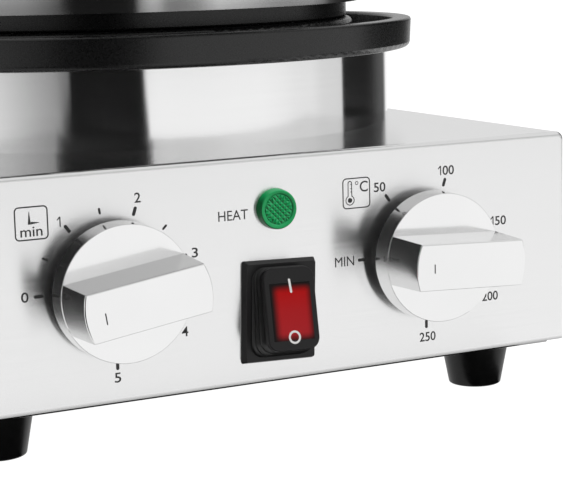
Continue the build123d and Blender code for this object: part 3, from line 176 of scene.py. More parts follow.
def direction_card(name, stops, heights=((0.0, 1.0), (1.0, 1.0))):
    """A glow by (azimuth in degrees, grey) stops, 0 towards the front, times (height, share) stops."""
    material, tree, output = new_material(name)
    first, last = stops[0][0], stops[-1][0]
    place = tree.nodes.new("ShaderNodeTexCoord")
    sides = tree.nodes.new("ShaderNodeSeparateXYZ")
    forward = tree.nodes.new("ShaderNodeMath")
    forward.operation = "MULTIPLY"
    forward.inputs[1].default_value = -1.0
    azimuth = tree.nodes.new("ShaderNodeMath")
    azimuth.operation = "ARCTAN2"
    share = tree.nodes.new("ShaderNodeMapRange")
    share.inputs["From Min"].default_value = radians(first)
    share.inputs["From Max"].default_value = radians(last)
    grey = tree.nodes.new("ShaderNodeValToRGB")
    grey_stops(grey.color_ramp, stops)
    height = tree.nodes.new("ShaderNodeMapRange")
    height.inputs["From Min"].default_value = heights[0][0]
    height.inputs["From Max"].default_value = heights[-1][0]
    by_height = tree.nodes.new("ShaderNodeValToRGB")
    grey_stops(by_height.color_ramp, heights)
    glow = tree.nodes.new("ShaderNodeEmission")
    join(
        tree,
        (place.outputs["Object"], sides.inputs[0]),
        (sides.outputs["Y"], forward.inputs[0]),
        (sides.outputs["X"], azimuth.inputs[0]),
        (forward.outputs[0], azimuth.inputs[1]),
        (azimuth.outputs[0], share.inputs["Value"]),
        (share.outputs[0], grey.inputs["Fac"]),
        (grey.outputs["Color"], glow.inputs["Color"]),
        (sides.outputs["Z"], height.inputs["Value"]),
        (height.outputs[0], by_height.inputs["Fac"]),
        (by_height.outputs["Color"], glow.inputs["Strength"]),
        (glow.outputs[0], output.inputs["Surface"]),
    )
    return material


def mirrored_only(name, bm, look):
    """A card that shows in metal and nowhere else."""
    mesh = bpy.data.meshes.new(name)
    bm.to_mesh(mesh)
    bm.free()
    mesh.materials.append(look)
    card = bpy.data.objects.new(name, mesh)
    card.visible_camera = False
    card.visible_diffuse = False
    card.visible_shadow = False
    card.visible_transmission = False
    bpy.context.scene.collection.objects.link(card)


def standing_card(name, look, reach, levels, columns=1):
    """A card that stands round the axis: (height, first azimuth, last azimuth) at each level."""
    bm = bmesh.new()
    bmesh.ops.create_grid(bm, x_segments=columns, y_segments=len(levels) - 1, size=1.0)
    for vert in bm.verts:
        height, first, last = levels[round((vert.co.y + 1) / 2 * (len(levels) - 1))]
        azimuth = radians(first + (vert.co.x + 1) / 2 * (last - first))
        vert.co = (reach * sin(azimuth), -reach * cos(azimuth), height)
    mirrored_only(name, bm, look)


def flat_card(name, look, height, corners):
    """A level card with the given corners."""
    bm = bmesh.new()
    bmesh.ops.contextual_create(bm, geom=[bm.verts.new((x, y, height)) for x, y in corners])
    mirrored_only(name, bm, look)


def ring_card(name, look, low, high):
    """A card that goes round the object from one height to another."""
    standing_card(name, look, ring_reach, ((low, *ring_span), (high, *ring_span)), ring_columns)


def even_look(name, grey):
    """A glow that is the same grey all over a card."""
    material, tree, output = new_material(name)
    glow = tree.nodes.new("ShaderNodeEmission")
    glow.inputs["Color"].default_value = (grey, grey, grey, 1)
    join(tree, (glow.outputs[0], output.inputs["Surface"]))
    return material


ring_reach, ring_columns = 0.87, 40
ring_span = (-80, 132)
low_top, middle_top, step_top, ring_top = 0.118, 0.16, 0.235, 0.6
low_ring = direction_card(
    "low_ring",
    (
        (-80, 1.0), (-70, 0.88), (-60, 0.70), (-48, 0.46), (-40, 0.33), (-38, 0.25), (-10, 0.25), (-8, 1.0),
        (37, 1.0), (45, 0.96), (52, 0.90), (60, 0.88), (66, 0.78), (78.5, 0.74), (79, 0.01), (97, 0.015),
        (104, 0.03), (112, 0.08), (122, 0.12), (126, 0.5), (128, 0.9), (132, 1.0),
    ),
)
ring_card("low_ring", low_ring, 0.0, low_top)
ring_card("step_ring", low_ring, middle_top, step_top)
middle_ring = direction_card(
    "middle_ring",
    (
        (-80, 0.30), (-64, 0.265), (-54, 0.235), (-47.5, 0.165), (-41, 0.08), (-38, 0.02), (-12, 0.02),
        (-9.5, 0.06), (-6, 0.31), (-3, 0.45), (0, 0.37), (3, 0.15), (6.6, 0.13), (10, 0.155), (15, 0.235),
        (20, 0.43), (25, 0.63), (35, 0.54), (42.6, 0.45), (51, 0.35), (60, 0.32), (76, 0.41), (84, 0.30),
        (90, 0.10), (96, 0.05), (110, 0.03), (122, 0.10), (132, 0.5),
    ),
    (
        (low_top, 0.10), (0.126, 0.12), (0.131, 0.32), (0.135, 0.75), (0.138, 1.0), (0.148, 1.25),
        (middle_top, 1.5),
    ),
)
ring_card("middle_ring", middle_ring, low_top, middle_top)
top_ring = direction_card(
    "top_ring",
    (
        (-80, 0.60), (-60, 0.44), (-45, 0.30), (-38, 0.28), (-8, 0.24), (0, 0.50), (20, 0.60), (45, 0.58),
        (60, 0.55), (78, 0.50), (79, 0.03), (120, 0.05), (122, 0.5), (132, 0.7),
    ),
)
ring_card("top_ring", top_ring, step_top, ring_top)
black_card = even_look("black_card", 0.008)
front_card_reach = 0.85
standing_card(
    "front_card", black_card, front_card_reach,
    (
        (0.0, -38.6, -7.6), (0.035, -38.6, -7.6), (0.078, -34.9, -9.1), (0.15, -36.8, -9.5),
        (0.2, -41, -6.5), (2.0, -41, -6.5),
    ),
    2,
)
front_cloth_height, under_cloth_height, ceiling_height = 0.001, 0.0005, 1.6
flat_card(
    "front_cloth", black_card, front_cloth_height,
    ((-0.46, -0.26), (-0.118, -0.26), (-0.075, -0.46), (-0.106, -0.843), (-0.512, -0.678)),
)
flat_card(
    "under_cloth", black_card, under_cloth_height,
    ((-0.13, -0.200), (0.1225, -0.200), (0.1225, -0.150), (-0.13, -0.150)),
)
ceiling_look = even_look("ceiling_card", 0.06)
flat_card("ceiling_card", ceiling_look, ceiling_height, ((-0.1, -0.2), (0.9, -0.2), (0.9, 2.6), (-0.1, 2.6)))

# The camera stands to the left of the front, a little above the drum, and looks
# slightly down.
camera_data = bpy.data.cameras.new("camera")
camera_data.sensor_width = 36.0
camera_data.lens = 110.27
camera_data.clip_start = 0.05
camera_data.clip_end = 200.0
camera = bpy.data.objects.new("camera", camera_data)
bpy.context.scene.collection.objects.link(camera)
bpy.context.scene.camera = camera
camera_at = (-0.28382, -0.74965, 0.18069)
camera_yaw, camera_pitch, camera_roll = 0.459093195, -0.166540619, -0.0250757
camera.matrix_world = (
    Matrix.Translation(camera_at)
    @ Matrix.Rotation(-camera_yaw, 4, "Z")
    @ Matrix.Rotation(pi / 2 + camera_pitch, 4, "X")
    @ Matrix.Rotation(camera_roll, 4, "Z")
)


# The base shell: satin stainless sheet with a fine brush grain along the width,
# folded with small bends. The level faces are smoother. The fold at the bottom is
# darkened in the sheet's colour: a painted shade that stands in for the bend's
# dark reflection of the floor under the base.
def metal(name, colour, roughness, grain, grain_depth, anisotropy=0.0, axis="X", turn=0.0):
    """Bare metal with a grain: a noise stretched by the grain's three scales, in 1/m."""
    material, tree, output = new_material(name)
    shader = tree.nodes.new("ShaderNodeBsdfPrincipled")
    shader.inputs["Metallic"].default_value = 1.0
    shader.inputs["Anisotropic"].default_value = anisotropy
    shader.inputs["Anisotropic Rotation"].default_value = turn
    place = tree.nodes.new("ShaderNodeTexCoord")
    stretch = tree.nodes.new("ShaderNodeMapping")
    stretch.inputs["Scale"].default_value = grain
    streaks = tree.nodes.new("ShaderNodeTexNoise")
    streaks.inputs["Scale"].default_value = 1.0
    streaks.inputs["Detail"].default_value = 3.0
    tint = tree.nodes.new("ShaderNodeMapRange")
    tint.inputs["To Min"].default_value = 0.965
    tint.inputs["To Max"].default_value = 1.03
    shade = tree.nodes.new("ShaderNodeVectorMath")
    shade.operation = "SCALE"
    shade.inputs[0].default_value = colour
    dull = tree.nodes.new("ShaderNodeMapRange")
    dull.inputs["To Min"].default_value = roughness * 0.85
    dull.inputs["To Max"].default_value = roughness * 1.15
    relief = tree.nodes.new("ShaderNodeBump")
    relief.inputs["Strength"].default_value = 0.25
    relief.inputs["Distance"].default_value = grain_depth
    join(
        tree,
        (place.outputs["Object"], stretch.inputs["Vector"]),
        (stretch.outputs[0], streaks.inputs["Vector"]),
        (streaks.outputs["Fac"], tint.inputs["Value"]),
        (streaks.outputs["Fac"], dull.inputs["Value"]),
        (streaks.outputs["Fac"], relief.inputs["Height"]),
        (tint.outputs[0], shade.inputs["Scale"]),
        (shade.outputs[0], shader.inputs["Base Color"]),
        (dull.outputs[0], shader.inputs["Roughness"]),
        (relief.outputs[0], shader.inputs["Normal"]),
        (shader.outputs[0], output.inputs["Surface"]),
    )
    if anisotropy:
        direction = tree.nodes.new("ShaderNodeTangent")
        direction.direction_type = "RADIAL"
        direction.axis = axis
        join(tree, (direction.outputs[0], shader.inputs["Tangent"]))
    return material


def finish_nodes(material, *names):
    """Gives CAD nodes their material."""
    for name in names:
        nodes[name].data.materials.clear()
        nodes[name].data.materials.append(material)


level_face, level_smoothness = 0.4, 0.62
painted_fold_shade, painted_fold_shade_start, painted_fold_shade_end = 0.25, 0.0002, 0.0021
shell_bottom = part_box("base_shell")[0].z
brushed_sheet = metal("brushed_sheet", (0.86, 0.86, 0.86), 0.23, (12, 900, 900), 0.00001, 0.8, "X")
tree = brushed_sheet.node_tree
shader = tree.nodes["Principled BSDF"]
facing = tree.nodes.new("ShaderNodeTexCoord")
facing_sides = tree.nodes.new("ShaderNodeSeparateXYZ")
level_share = tree.nodes.new("ShaderNodeMath")
level_share.operation = "ABSOLUTE"
smoother = tree.nodes.new("ShaderNodeMapRange")
smoother.inputs["From Max"].default_value = level_face
smoother.inputs["To Min"].default_value = 1.0
smoother.inputs["To Max"].default_value = level_smoothness
sheet_roughness = tree.nodes.new("ShaderNodeMath")
sheet_roughness.operation = "MULTIPLY"
place_sides = tree.nodes.new("ShaderNodeSeparateXYZ")
# Painted shade: the sheet's colour darkens towards the bottom fold, in place of the bend's dark reflection.
painted_fold_shade_ramp = tree.nodes.new("ShaderNodeMapRange")
painted_fold_shade_ramp.inputs["From Min"].default_value = shell_bottom + painted_fold_shade_start
painted_fold_shade_ramp.inputs["From Max"].default_value = shell_bottom + painted_fold_shade_end
painted_fold_shade_ramp.inputs["To Min"].default_value = painted_fold_shade
painted_fold_shade_colour = tree.nodes.new("ShaderNodeVectorMath")
painted_fold_shade_colour.operation = "SCALE"
join(
    tree,
    (shader.inputs["Roughness"].links[0].from_socket, sheet_roughness.inputs[0]),
    (facing.outputs["Normal"], facing_sides.inputs[0]),
    (facing_sides.outputs["Z"], level_share.inputs[0]),
    (level_share.outputs[0], smoother.inputs["Value"]),
    (smoother.outputs[0], sheet_roughness.inputs[1]),
    (sheet_roughness.outputs[0], shader.inputs["Roughness"]),
    (facing.outputs["Object"], place_sides.inputs[0]),
    (place_sides.outputs["Z"], painted_fold_shade_ramp.inputs["Value"]),
    (shader.inputs["Base Color"].links[0].from_socket, painted_fold_shade_colour.inputs[0]),
    (painted_fold_shade_ramp.outputs[0], painted_fold_shade_colour.inputs["Scale"]),
    (painted_fold_shade_colour.outputs[0], shader.inputs["Base Color"]),
)
finish_nodes(brushed_sheet, "base_shell")

# The hinge bracket: thicker stainless sheet, bent and brushed up and down, and
# bolted to the back of the base.
bracket_sheet = metal("bracket_sheet", (0.74, 0.74, 0.74), 0.27, (900, 900, 12), 0.00002)
finish_nodes(bracket_sheet, "hinge_bracket")

# The drum and the lid housing: rolled and drawn stainless, brushed round the
# axis. The lid's grain is the finer one.
rolled_sheet = metal("rolled_sheet", (0.87, 0.87, 0.87), 0.10, (9, 9, 1300), 0.00001, 0.75, "Z", 0.25)
finish_nodes(rolled_sheet, "drum_shell")
drawn_sheet = metal("drawn_sheet", (0.80, 0.80, 0.80), 0.09, (9, 9, 1300), 0.000004)
finish_nodes(drawn_sheet, "lid_shell")


# The two baking plates: cast metal under a dull, fine-grained charcoal coating.
# Each is held by studs from behind.
def grained(name, colour, roughness, grain, depth, light=1.35, dark=0.7, level=0.5):
    """A dull coating or moulding: speckled colour and a fine grain of the size 1/grain."""
    material, tree, output = new_material(name)
    shader = tree.nodes.new("ShaderNodeBsdfPrincipled")
    shader.inputs["Specular IOR Level"].default_value = level
    place = tree.nodes.new("ShaderNodeTexCoord")
    specks = tree.nodes.new("ShaderNodeTexNoise")
    specks.inputs["Scale"].default_value = grain
    specks.inputs["Detail"].default_value = 4.0
    specks.inputs["Roughness"].default_value = 0.6
    tint = tree.nodes.new("ShaderNodeMapRange")
    tint.inputs["From Min"].default_value = 0.3
    tint.inputs["From Max"].default_value = 0.7
    tint.inputs["To Min"].default_value = dark
    tint.inputs["To Max"].default_value = light
    shade = tree.nodes.new("ShaderNodeVectorMath")
    shade.operation = "SCALE"
    shade.inputs[0].default_value = colour
    dull = tree.nodes.new("ShaderNodeMapRange")
    dull.inputs["To Min"].default_value = roughness * 0.8
    dull.inputs["To Max"].default_value = roughness * 1.2
    relief = tree.nodes.new("ShaderNodeBump")
    relief.inputs["Strength"].default_value = 0.5
    relief.inputs["Distance"].default_value = depth
    join(
        tree,
        (place.outputs["Object"], specks.inputs["Vector"]),
        (specks.outputs["Fac"], tint.inputs["Value"]),
        (specks.outputs["Fac"], dull.inputs["Value"]),
        (specks.outputs["Fac"], relief.inputs["Height"]),
        (tint.outputs[0], shade.inputs["Scale"]),
        (shade.outputs[0], shader.inputs["Base Color"]),
        (dull.outputs[0], shader.inputs["Roughness"]),
        (relief.outputs[0], shader.inputs["Normal"]),
        (shader.outputs[0], output.inputs["Surface"]),
    )
    return material


plate_coating = grained("plate_coating", (0.004, 0.004, 0.0042), 0.28, 1100, 0.00004, 1.9, 0.4)
finish_nodes(plate_coating, "lower_plate", "upper_plate")

# The four feet: moulded black rubber, each held by a screw through the bottom of
# the base.
foot_rubber = grained("foot_rubber", (0.005, 0.005, 0.005), 0.36, 500, 0.00003, level=0.25)
finish_nodes(foot_rubber, "foot_front_left", "foot_front_right", "foot_rear_left", "foot_rear_right")

# Fasteners, shafts, clamps, the cans of the controls and the bottom plate: bar and
# sheet of zinc-plated steel.
zinc = metal("zinc", (0.56, 0.57, 0.58), 0.32, (260, 260, 260), 0.00002)
finish_nodes(
    zinc,
    "bottom_plate", "bottom_screws", "foot_bolts", "drum_screws", "lower_plate_studs", "lower_plate_nuts",
    "upper_plate_studs", "upper_plate_nuts", "bracket_bolts", "hinge_pin", "lid_stop_rod",
    "hinge_arm_bolts", "handle_nuts", "control_screws", "timer_shaft", "thermostat_shaft",
    "lower_element_clamp", "upper_element_clamp", "timer_body", "thermostat_body",
)

# The lid's handle rod, bent from round bar, and the cap nuts on its top: stainless
# steel, polished all over.
polished = metal("polished_steel", (0.80, 0.80, 0.80), 0.09, (400, 400, 400), 0.000005)
finish_nodes(polished, "lid_cap_nuts", "handle_rod")

# The two springs that carry the lid's weight and the clips on the hinge pin: wound
# and stamped from dark spring steel.
spring_steel = metal("spring_steel", (0.22, 0.22, 0.23), 0.34, (700, 700, 700), 0.00002)
finish_nodes(spring_steel, "hinge_spring_left", "hinge_spring_right", "pin_clips")

# The hinge arm: sand-cast aluminium, blasted to an even matt grey. It is bolted to
# the lid and turns on two brass bushes.
cast_aluminium = metal("cast_aluminium", (0.58, 0.59, 0.60), 0.42, (850, 850, 850), 0.00007)
finish_nodes(cast_aluminium, "hinge_arm")
bush_brass = metal("bush_brass", (0.62, 0.42, 0.15), 0.26, (600, 600, 600), 0.00002)
finish_nodes(bush_brass, "hinge_bushes")

# Inside the housings: tubular heating elements under mineral wool, the copper
# sensor of the thermostat and the glazed terminal block.
element_tube = metal("element_tube", (0.14, 0.13, 0.12), 0.45, (500, 500, 500), 0.00004)
finish_nodes(element_tube, "lower_heating_element", "upper_heating_element")
copper_tube = metal("copper_tube", (0.60, 0.30, 0.18), 0.25, (500, 500, 500), 0.00002)
finish_nodes(copper_tube, "sensor_bulb")
wool = grained("mineral_wool", (0.48, 0.43, 0.26), 0.9, 700, 0.0003, 1.2, 0.8, 0.2)
finish_nodes(wool, "lower_insulation", "upper_insulation")
glazed_white = grained("glazed_white", (0.80, 0.79, 0.75), 0.2, 300, 0.00001, 1.02, 0.97)
finish_nodes(glazed_white, "terminal_block")

# Moulded black parts: the handle's grip and spacers, the switch, the lamp holder
# and the cable gland. The rings round the wire holes are softer rubber.
black_moulding = grained("black_moulding", (0.016, 0.016, 0.017), 0.38, 1600, 0.00003, 1.15, 0.85)
finish_nodes(
    black_moulding,
    "handle_grip", "handle_spacers", "lamp_holder", "lamp_nut", "switch_body",
    "cable_gland", "gland_cap", "gland_locknut",
)
switch_black = grained("switch_black", (0.009, 0.0085, 0.009), 0.42, 1600, 0.00002, 1.1, 0.9, 0.32)
finish_nodes(switch_black, "switch_frame", "switch_rocker")
soft_rubber = grained("soft_rubber", (0.011, 0.011, 0.011), 0.45, 900, 0.00003)
finish_nodes(soft_rubber, "base_grommet", "lid_grommet")

# The two knobs: turned and milled from aluminium, finely polished and pushed on
# their shafts.
knob_metal = metal("knob_metal", (0.87, 0.87, 0.87), 0.11, (30, 1100, 30), 0.000003)
finish_nodes(knob_metal, "timer_knob", "thermostat_knob")

# Pilot lamp: a clear green lens with a plain rim round a field of small
# pyramids, pushed into the panel from the front.
def add_piece(name, bm, material, body, smooth=30):
    """Adds a closed mesh as one piece of the object that rides on a body."""
    bmesh.ops.remove_doubles(bm, verts=bm.verts, dist=1e-7)
    bmesh.ops.recalc_face_normals(bm, faces=bm.faces)
    mesh = bpy.data.meshes.new(name)
    bm.to_mesh(mesh)
    bm.free()
    mesh.materials.append(material)
    mesh.shade_smooth()
    mesh.set_sharp_from_angle(angle=radians(smooth))
    piece = bpy.data.objects.new(name, mesh)
    bpy.context.scene.collection.objects.link(piece)
    if body:
        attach(piece, body)
    return piece


joint_at = {joint["name"]: joint["pos_m"] for joint in frame["joints"]}
dial_x, front_y, dial_z = joint_at["thermostat_turn"]
lamp_low, lamp_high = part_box("lamp_lens")
lamp_z = (lamp_low.z + lamp_high.z) / 2


def on_front(x, z, lift=0.0):
    """Millimetres to metres, from a drawing in X and Y to the front panel at (x, z)."""
    place = Matrix.Translation((x, front_y - lift, z))
    return place @ Matrix.Rotation(pi / 2, 4, "X") @ Matrix.Scale(0.001, 4)


green_plastic, tree, output = new_material("green_plastic")
shader = tree.nodes.new("ShaderNodeBsdfPrincipled")
shader.inputs["Roughness"].default_value = 0.22
shader.inputs["Specular IOR Level"].default_value = 0.25
place = tree.nodes.new("ShaderNodeTexCoord")
# Painted light: the green is lighter on facets that face right and up, and darker on those that face left
# and down.
light_facing = tree.nodes.new("ShaderNodeVectorMath")
light_facing.operation = "DOT_PRODUCT"
light_facing.inputs[1].default_value = (0.75, 0.0, 0.66)
glow = tree.nodes.new("ShaderNodeValToRGB")
glow.color_ramp.elements[0].position = 0.30
glow.color_ramp.elements[0].color = (0.002, 0.110, 0.030, 1)
glow.color_ramp.elements[1].position = 0.75
glow.color_ramp.elements[1].color = (0.040, 0.500, 0.180, 1)
middle = glow.color_ramp.elements.new(0.5)
middle.color = (0.008, 0.370, 0.105, 1)
centred = tree.nodes.new("ShaderNodeMapRange")
centred.inputs["From Min"].default_value = -1.0
join(
    tree,
    (place.outputs["Normal"], light_facing.inputs[0]),
    (light_facing.outputs["Value"], centred.inputs["Value"]),
    (centred.outputs[0], glow.inputs["Fac"]),
    (glow.outputs["Color"], shader.inputs["Base Color"]),
    (shader.outputs[0], output.inputs["Surface"]),
)

lens_steps = 72
facet_rows, facet_half = 8, 5.8
facet_top, facet_foot, facet_dip = 2.9, 2.45, 0.42
facet_field, facet_reach = 5.35, 5.75
bm = bmesh.new()
lens_profile = [
    (0.0, 0.0), (7.7, 0.0), (7.7, 0.7), (7.65, 0.85), (7.5, 2.6), (7.4, 3.1),
    (7.1, 3.38), (6.5, 3.4), (6.0, 3.25), (5.7, 3.0), (5.6, 2.5), (0.0, 2.5),
]
profile_verts = [bm.verts.new((r, 0.0, d)) for r, d in lens_profile]
profile_edges = [bm.edges.new(pair) for pair in zip(profile_verts, profile_verts[1:])]
bmesh.ops.spin(
    bm, geom=profile_verts + profile_edges, cent=(0, 0, 0), axis=(0, 0, 1),
    angle=2 * pi, steps=lens_steps, use_merge=True,
)
bmesh.ops.remove_doubles(bm, verts=bm.verts, dist=1e-5)
facets = bmesh.new()
bmesh.ops.create_grid(
    facets, x_segments=facet_rows, y_segments=facet_rows, size=facet_half,
    matrix=Matrix.Rotation(radians(45), 4, "Z"),
)
for vert in facets.verts:
    vert.co.z = facet_top
outside = [face for face in facets.faces if face.calc_center_median().xy.length > facet_field]
bmesh.ops.delete(facets, geom=outside, context="FACES")
for vert in facets.verts:
    reach = (vert.co.x**2 + vert.co.y**2) ** 0.5
    if vert.is_boundary or reach > facet_reach:
        vert.co.x *= facet_reach / reach
        vert.co.y *= facet_reach / reach
tops = list(facets.faces)
sunk = bmesh.ops.extrude_face_region(facets, geom=tops)
raised = [face for face in sunk["geom"] if isinstance(face, bmesh.types.BMFace)]
bmesh.ops.poke(facets, faces=raised, offset=facet_dip)
for vert in {vert for face in tops for vert in face.verts}:
    vert.co.z = facet_foot
facet_mesh = bpy.data.meshes.new("facets")
facets.to_mesh(facet_mesh)
facets.free()
bm.from_mesh(facet_mesh)
bm.transform(on_front(0.0, lamp_z))
pilot_lens = add_piece("pilot_lens", bm, green_plastic, "base", 20)
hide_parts("lamp_lens")

# Switch boot: a soft rubber bellows of three ridges from the flange to the
# rocker's cap. It is shaped to the cap as the cap is tipped here, and it stays
# fixed in place. The switch sits a little turned.
def rounded_plate(bm, half_width, half_height, corner, segments):
    """A flat plate with rounded corners, centred on the origin."""
    size = Matrix.Diagonal((half_width, half_height, 1.0, 1.0))
    corners = bmesh.ops.create_grid(bm, x_segments=1, y_segments=1, size=1.0, matrix=size)["verts"]
    bmesh.ops.bevel(
        bm, geom=corners, offset=corner, affect="VERTICES", segments=segments, profile=0.5, material=-1
    )


pivot_y, switch_z = joint_at["rocker_press"][1:]
switch_turned, rocker_tilt, cap_face = -2.0, 13.35, 11.2
switch_roll = Matrix.Rotation(radians(switch_turned), 4, "Z")
on_cap = (
    on_front(0.0, switch_z, front_y - pivot_y) @ switch_roll
    @ Matrix.Rotation(radians(-rocker_tilt), 4, "X") @ Matrix.Translation((0, 0, cap_face))
)
boot_half_width, boot_half_height = 10.6, 15.15
boot_corner, boot_corner_growth, boot_corner_segments = 4.4, 0.8, 7
boot_seat, boot_end, boot_drop = 3.0, 9.20, 1.89
bellows_rubber = grained("bellows_rubber", (0.007, 0.007, 0.007), 0.38, 900, 0.00002, level=0.6)
bm = bmesh.new()
boot_profile = (
    (0.00, 1.9), (0.12, 1.9), (0.17, 1.6), (0.22, 0.2), (0.27, 0.0), (0.33, 1.4), (0.45, 1.4),
    (0.50, 1.0), (0.55, -0.5), (0.60, -0.6), (0.66, 0.8), (0.79, 0.8), (0.85, 0.3), (0.92, -0.9),
    (1.00, -1.0), (1.00, -1.6), (0.00, -1.6),
)
loops = []
for share, grow in boot_profile:
    known = set(bm.edges)
    corner = boot_corner + min(grow, boot_corner_growth)
    rounded_plate(bm, boot_half_width + grow, boot_half_height + grow, corner, boot_corner_segments)
    bmesh.ops.delete(bm, geom=list(bm.faces)[-1:], context="FACES_ONLY")
    loop = [edge for edge in bm.edges if edge not in known]
    for vert in {vert for edge in loop for vert in edge.verts}:
        vert.co.y += boot_drop * share
        vert.co.z = boot_seat + share * (boot_end - tan(radians(rocker_tilt)) * vert.co.y - boot_seat)
    loops.append(loop)
for near, far in zip(loops, loops[1:] + loops[:1]):
    bmesh.ops.bridge_loops(bm, edges=near + far)
bm.transform(on_front(0.0, switch_z) @ switch_roll)
boot = add_piece("bellows_boot", bm, bellows_rubber, None, 40)
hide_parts("switch_boot")
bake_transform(boot)

# Switch window: red plastic let into the cap. Its colour holds painted light: the
# red fades to the cap's black along its edges, where the little lamp behind it
# doesn't reach, and its tone changes a little along its height.
window_centre = Vector((0.65, -1.55, 0.0))
window_fades = (((1, 0, 0), 0.00875, 0.0049), ((0, 1, 0), 0.01095, 0.0071))
red_reach = 0.009
red_plastic, tree, output = new_material("red_plastic")
shader = tree.nodes.new("ShaderNodeBsdfPrincipled")
shader.inputs["Roughness"].default_value = 0.35
shader.inputs["Specular IOR Level"].default_value = 0.04
place = tree.nodes.new("ShaderNodeTexCoord")
from_middle = tree.nodes.new("ShaderNodeVectorMath")
from_middle.operation = "SUBTRACT"
from_middle.inputs[1].default_value = on_cap @ window_centre
lit_share = tree.nodes.new("ShaderNodeMath")
lit_share.operation = "MULTIPLY"
red_height = tree.nodes.new("ShaderNodeMapRange")
red_height.inputs["From Min"].default_value = -red_reach
red_height.inputs["From Max"].default_value = red_reach
lit_red = tree.nodes.new("ShaderNodeValToRGB")
lit_red.color_ramp.elements[0].color = (0.440, 0.022, 0.027, 1)
lit_red.color_ramp.elements[1].color = (0.480, 0.006, 0.006, 1)
middle_red = lit_red.color_ramp.elements.new(0.55)
middle_red.color = (0.450, 0.016, 0.019, 1)
red_mix = tree.nodes.new("ShaderNodeMix")
red_mix.data_type = "RGBA"
red_mix.inputs["A"].default_value = (0.012, 0.011, 0.011, 1)
join(tree, (place.outputs["Object"], from_middle.inputs[0]))
for number, (axis, nothing, full) in enumerate(window_fades):
    along = tree.nodes.new("ShaderNodeVectorMath")
    along.operation = "DOT_PRODUCT"
    along.inputs[1].default_value = (on_cap.to_3x3() @ Vector(axis)).normalized()
    reach = tree.nodes.new("ShaderNodeMath")
    reach.operation = "ABSOLUTE"
    fade = tree.nodes.new("ShaderNodeMapRange")
    fade.interpolation_type = "SMOOTHSTEP"
    fade.inputs["From Min"].default_value = nothing
    fade.inputs["From Max"].default_value = full
    join(
        tree,
        (from_middle.outputs[0], along.inputs[0]),
        (along.outputs["Value"], reach.inputs[0]),
        (reach.outputs[0], fade.inputs["Value"]),
        (fade.outputs[0], lit_share.inputs[number]),
    )
join(
    tree,
    (along.outputs["Value"], red_height.inputs["Value"]),
    (red_height.outputs[0], lit_red.inputs["Fac"]),
    (lit_red.outputs["Color"], red_mix.inputs["B"]),
    (lit_share.outputs[0], red_mix.inputs["Factor"]),
    (red_mix.outputs["Result"], shader.inputs["Base Color"]),
    (shader.outputs[0], output.inputs["Surface"]),
)
finish_nodes(red_plastic, "switch_window")


# Marks of the switch: a white stroke and a white ring, printed on the tilted cap
# in a thin coat of ink.
def settle(bm, known, place):
    """Moves the vertices that aren't known yet from the origin to their place."""
    bmesh.ops.transform(bm, matrix=place, verts=[vert for vert in bm.verts if vert not in known])


def keep_outline(bm, known, width):
    """Cuts the faces on vertices that aren't known yet down to a line along their edge."""
    inside = [face for face in bm.faces if all(vert not in known for vert in face.verts)]
    bmesh.ops.inset_region(bm, faces=inside, thickness=width, use_even_offset=True, use_boundary=True)
    bmesh.ops.delete(bm, geom=inside, context="FACES")


def stroke(bm, length, width, place):
    """A flat stroke with round ends, centred on its place."""
    known = set(bm.verts)
    rounded_plate(bm, width / 2, length / 2, width * stroke_end, stroke_segments)
    settle(bm, known, place)


def ring(bm, radius, width, place):
    """A flat ring."""
    known = set(bm.verts)
    bmesh.ops.create_circle(bm, cap_ends=True, radius=radius, segments=48)
    keep_outline(bm, known, width)
    settle(bm, known, place)


def spot(x, y, turned=0.0):
    """A place in a flat drawing, turned anticlockwise in degrees."""
    return Matrix.Translation((x, y, 0.0)) @ Matrix.Rotation(radians(turned), 4, "Z")


def print_piece(name, bm, place, ink, body):
    """Gives a flat drawing the thickness of a coat of ink and lays it on its surface."""
    top = bmesh.ops.extrude_face_region(bm, geom=list(bm.faces))["geom"]
    lifted = [vert for vert in top if isinstance(vert, bmesh.types.BMVert)]
    bmesh.ops.translate(bm, verts=lifted, vec=(0, 0, ink_coat))
    bm.transform(place)
    return add_piece(name, bm, ink, body)


stroke_end, stroke_segments = 0.49, 5
ink_coat, ink_gap = 0.03, 0.01
white_ink = grained("white_ink", (0.86, 0.84, 0.83), 0.4, 900, 0.000005, 1.02, 0.97)
bm = bmesh.new()
stroke(bm, 5.4, 0.9, spot(0.2, 8.5, 5.4))
ring(bm, 2.5, 0.8, spot(0.15, -10.7))
inked_cap = on_cap @ Matrix.Translation((0, 0, ink_gap))
print_piece("switch_marks", bm, inked_cap, white_ink, "rocker")


# Scales and words of the two dials, printed on the panel in dark grey ink: strokes
# and numbers round each knob, and an icon in a rounded frame.
def words(bm, text, x, y, tall, wide, weight=0.008):
    """Flat lettering centred on (x, y), as tall and as wide as given."""
    curve = bpy.data.curves.new("words", "FONT")
    curve.body = text
    curve.resolution_u = 5
    curve.offset = weight
    letters = bpy.data.objects.new("words", curve)
    bpy.context.scene.collection.objects.link(letters)
    bpy.context.view_layer.update()
    flat = bpy.data.meshes.new_from_object(letters.evaluated_get(bpy.context.evaluated_depsgraph_get()))
    bpy.data.objects.remove(letters)
    xs = [vert.co.x for vert in flat.vertices]
    ys = [vert.co.y for vert in flat.vertices]
    high = tall / (max(ys) - min(ys))
    broad = wide / (max(xs) - min(xs))
    centre = Matrix.Translation((-(min(xs) + max(xs)) / 2, -(min(ys) + max(ys)) / 2, 0.0))
    flat.transform(spot(x, y) @ Matrix.Diagonal((broad, high, 1.0, 1.0)) @ centre)
    bm.from_mesh(flat)
    bpy.data.meshes.remove(flat)


def one(bm, x, y):
    """The figure 1, drawn with its flag, centred on (x, y)."""
    stroke(bm, 3.7, 0.45, spot(x + 0.45, y))
    stroke(bm, 1.65, 0.4, spot(x - 0.10, y + 1.30, -42.0))


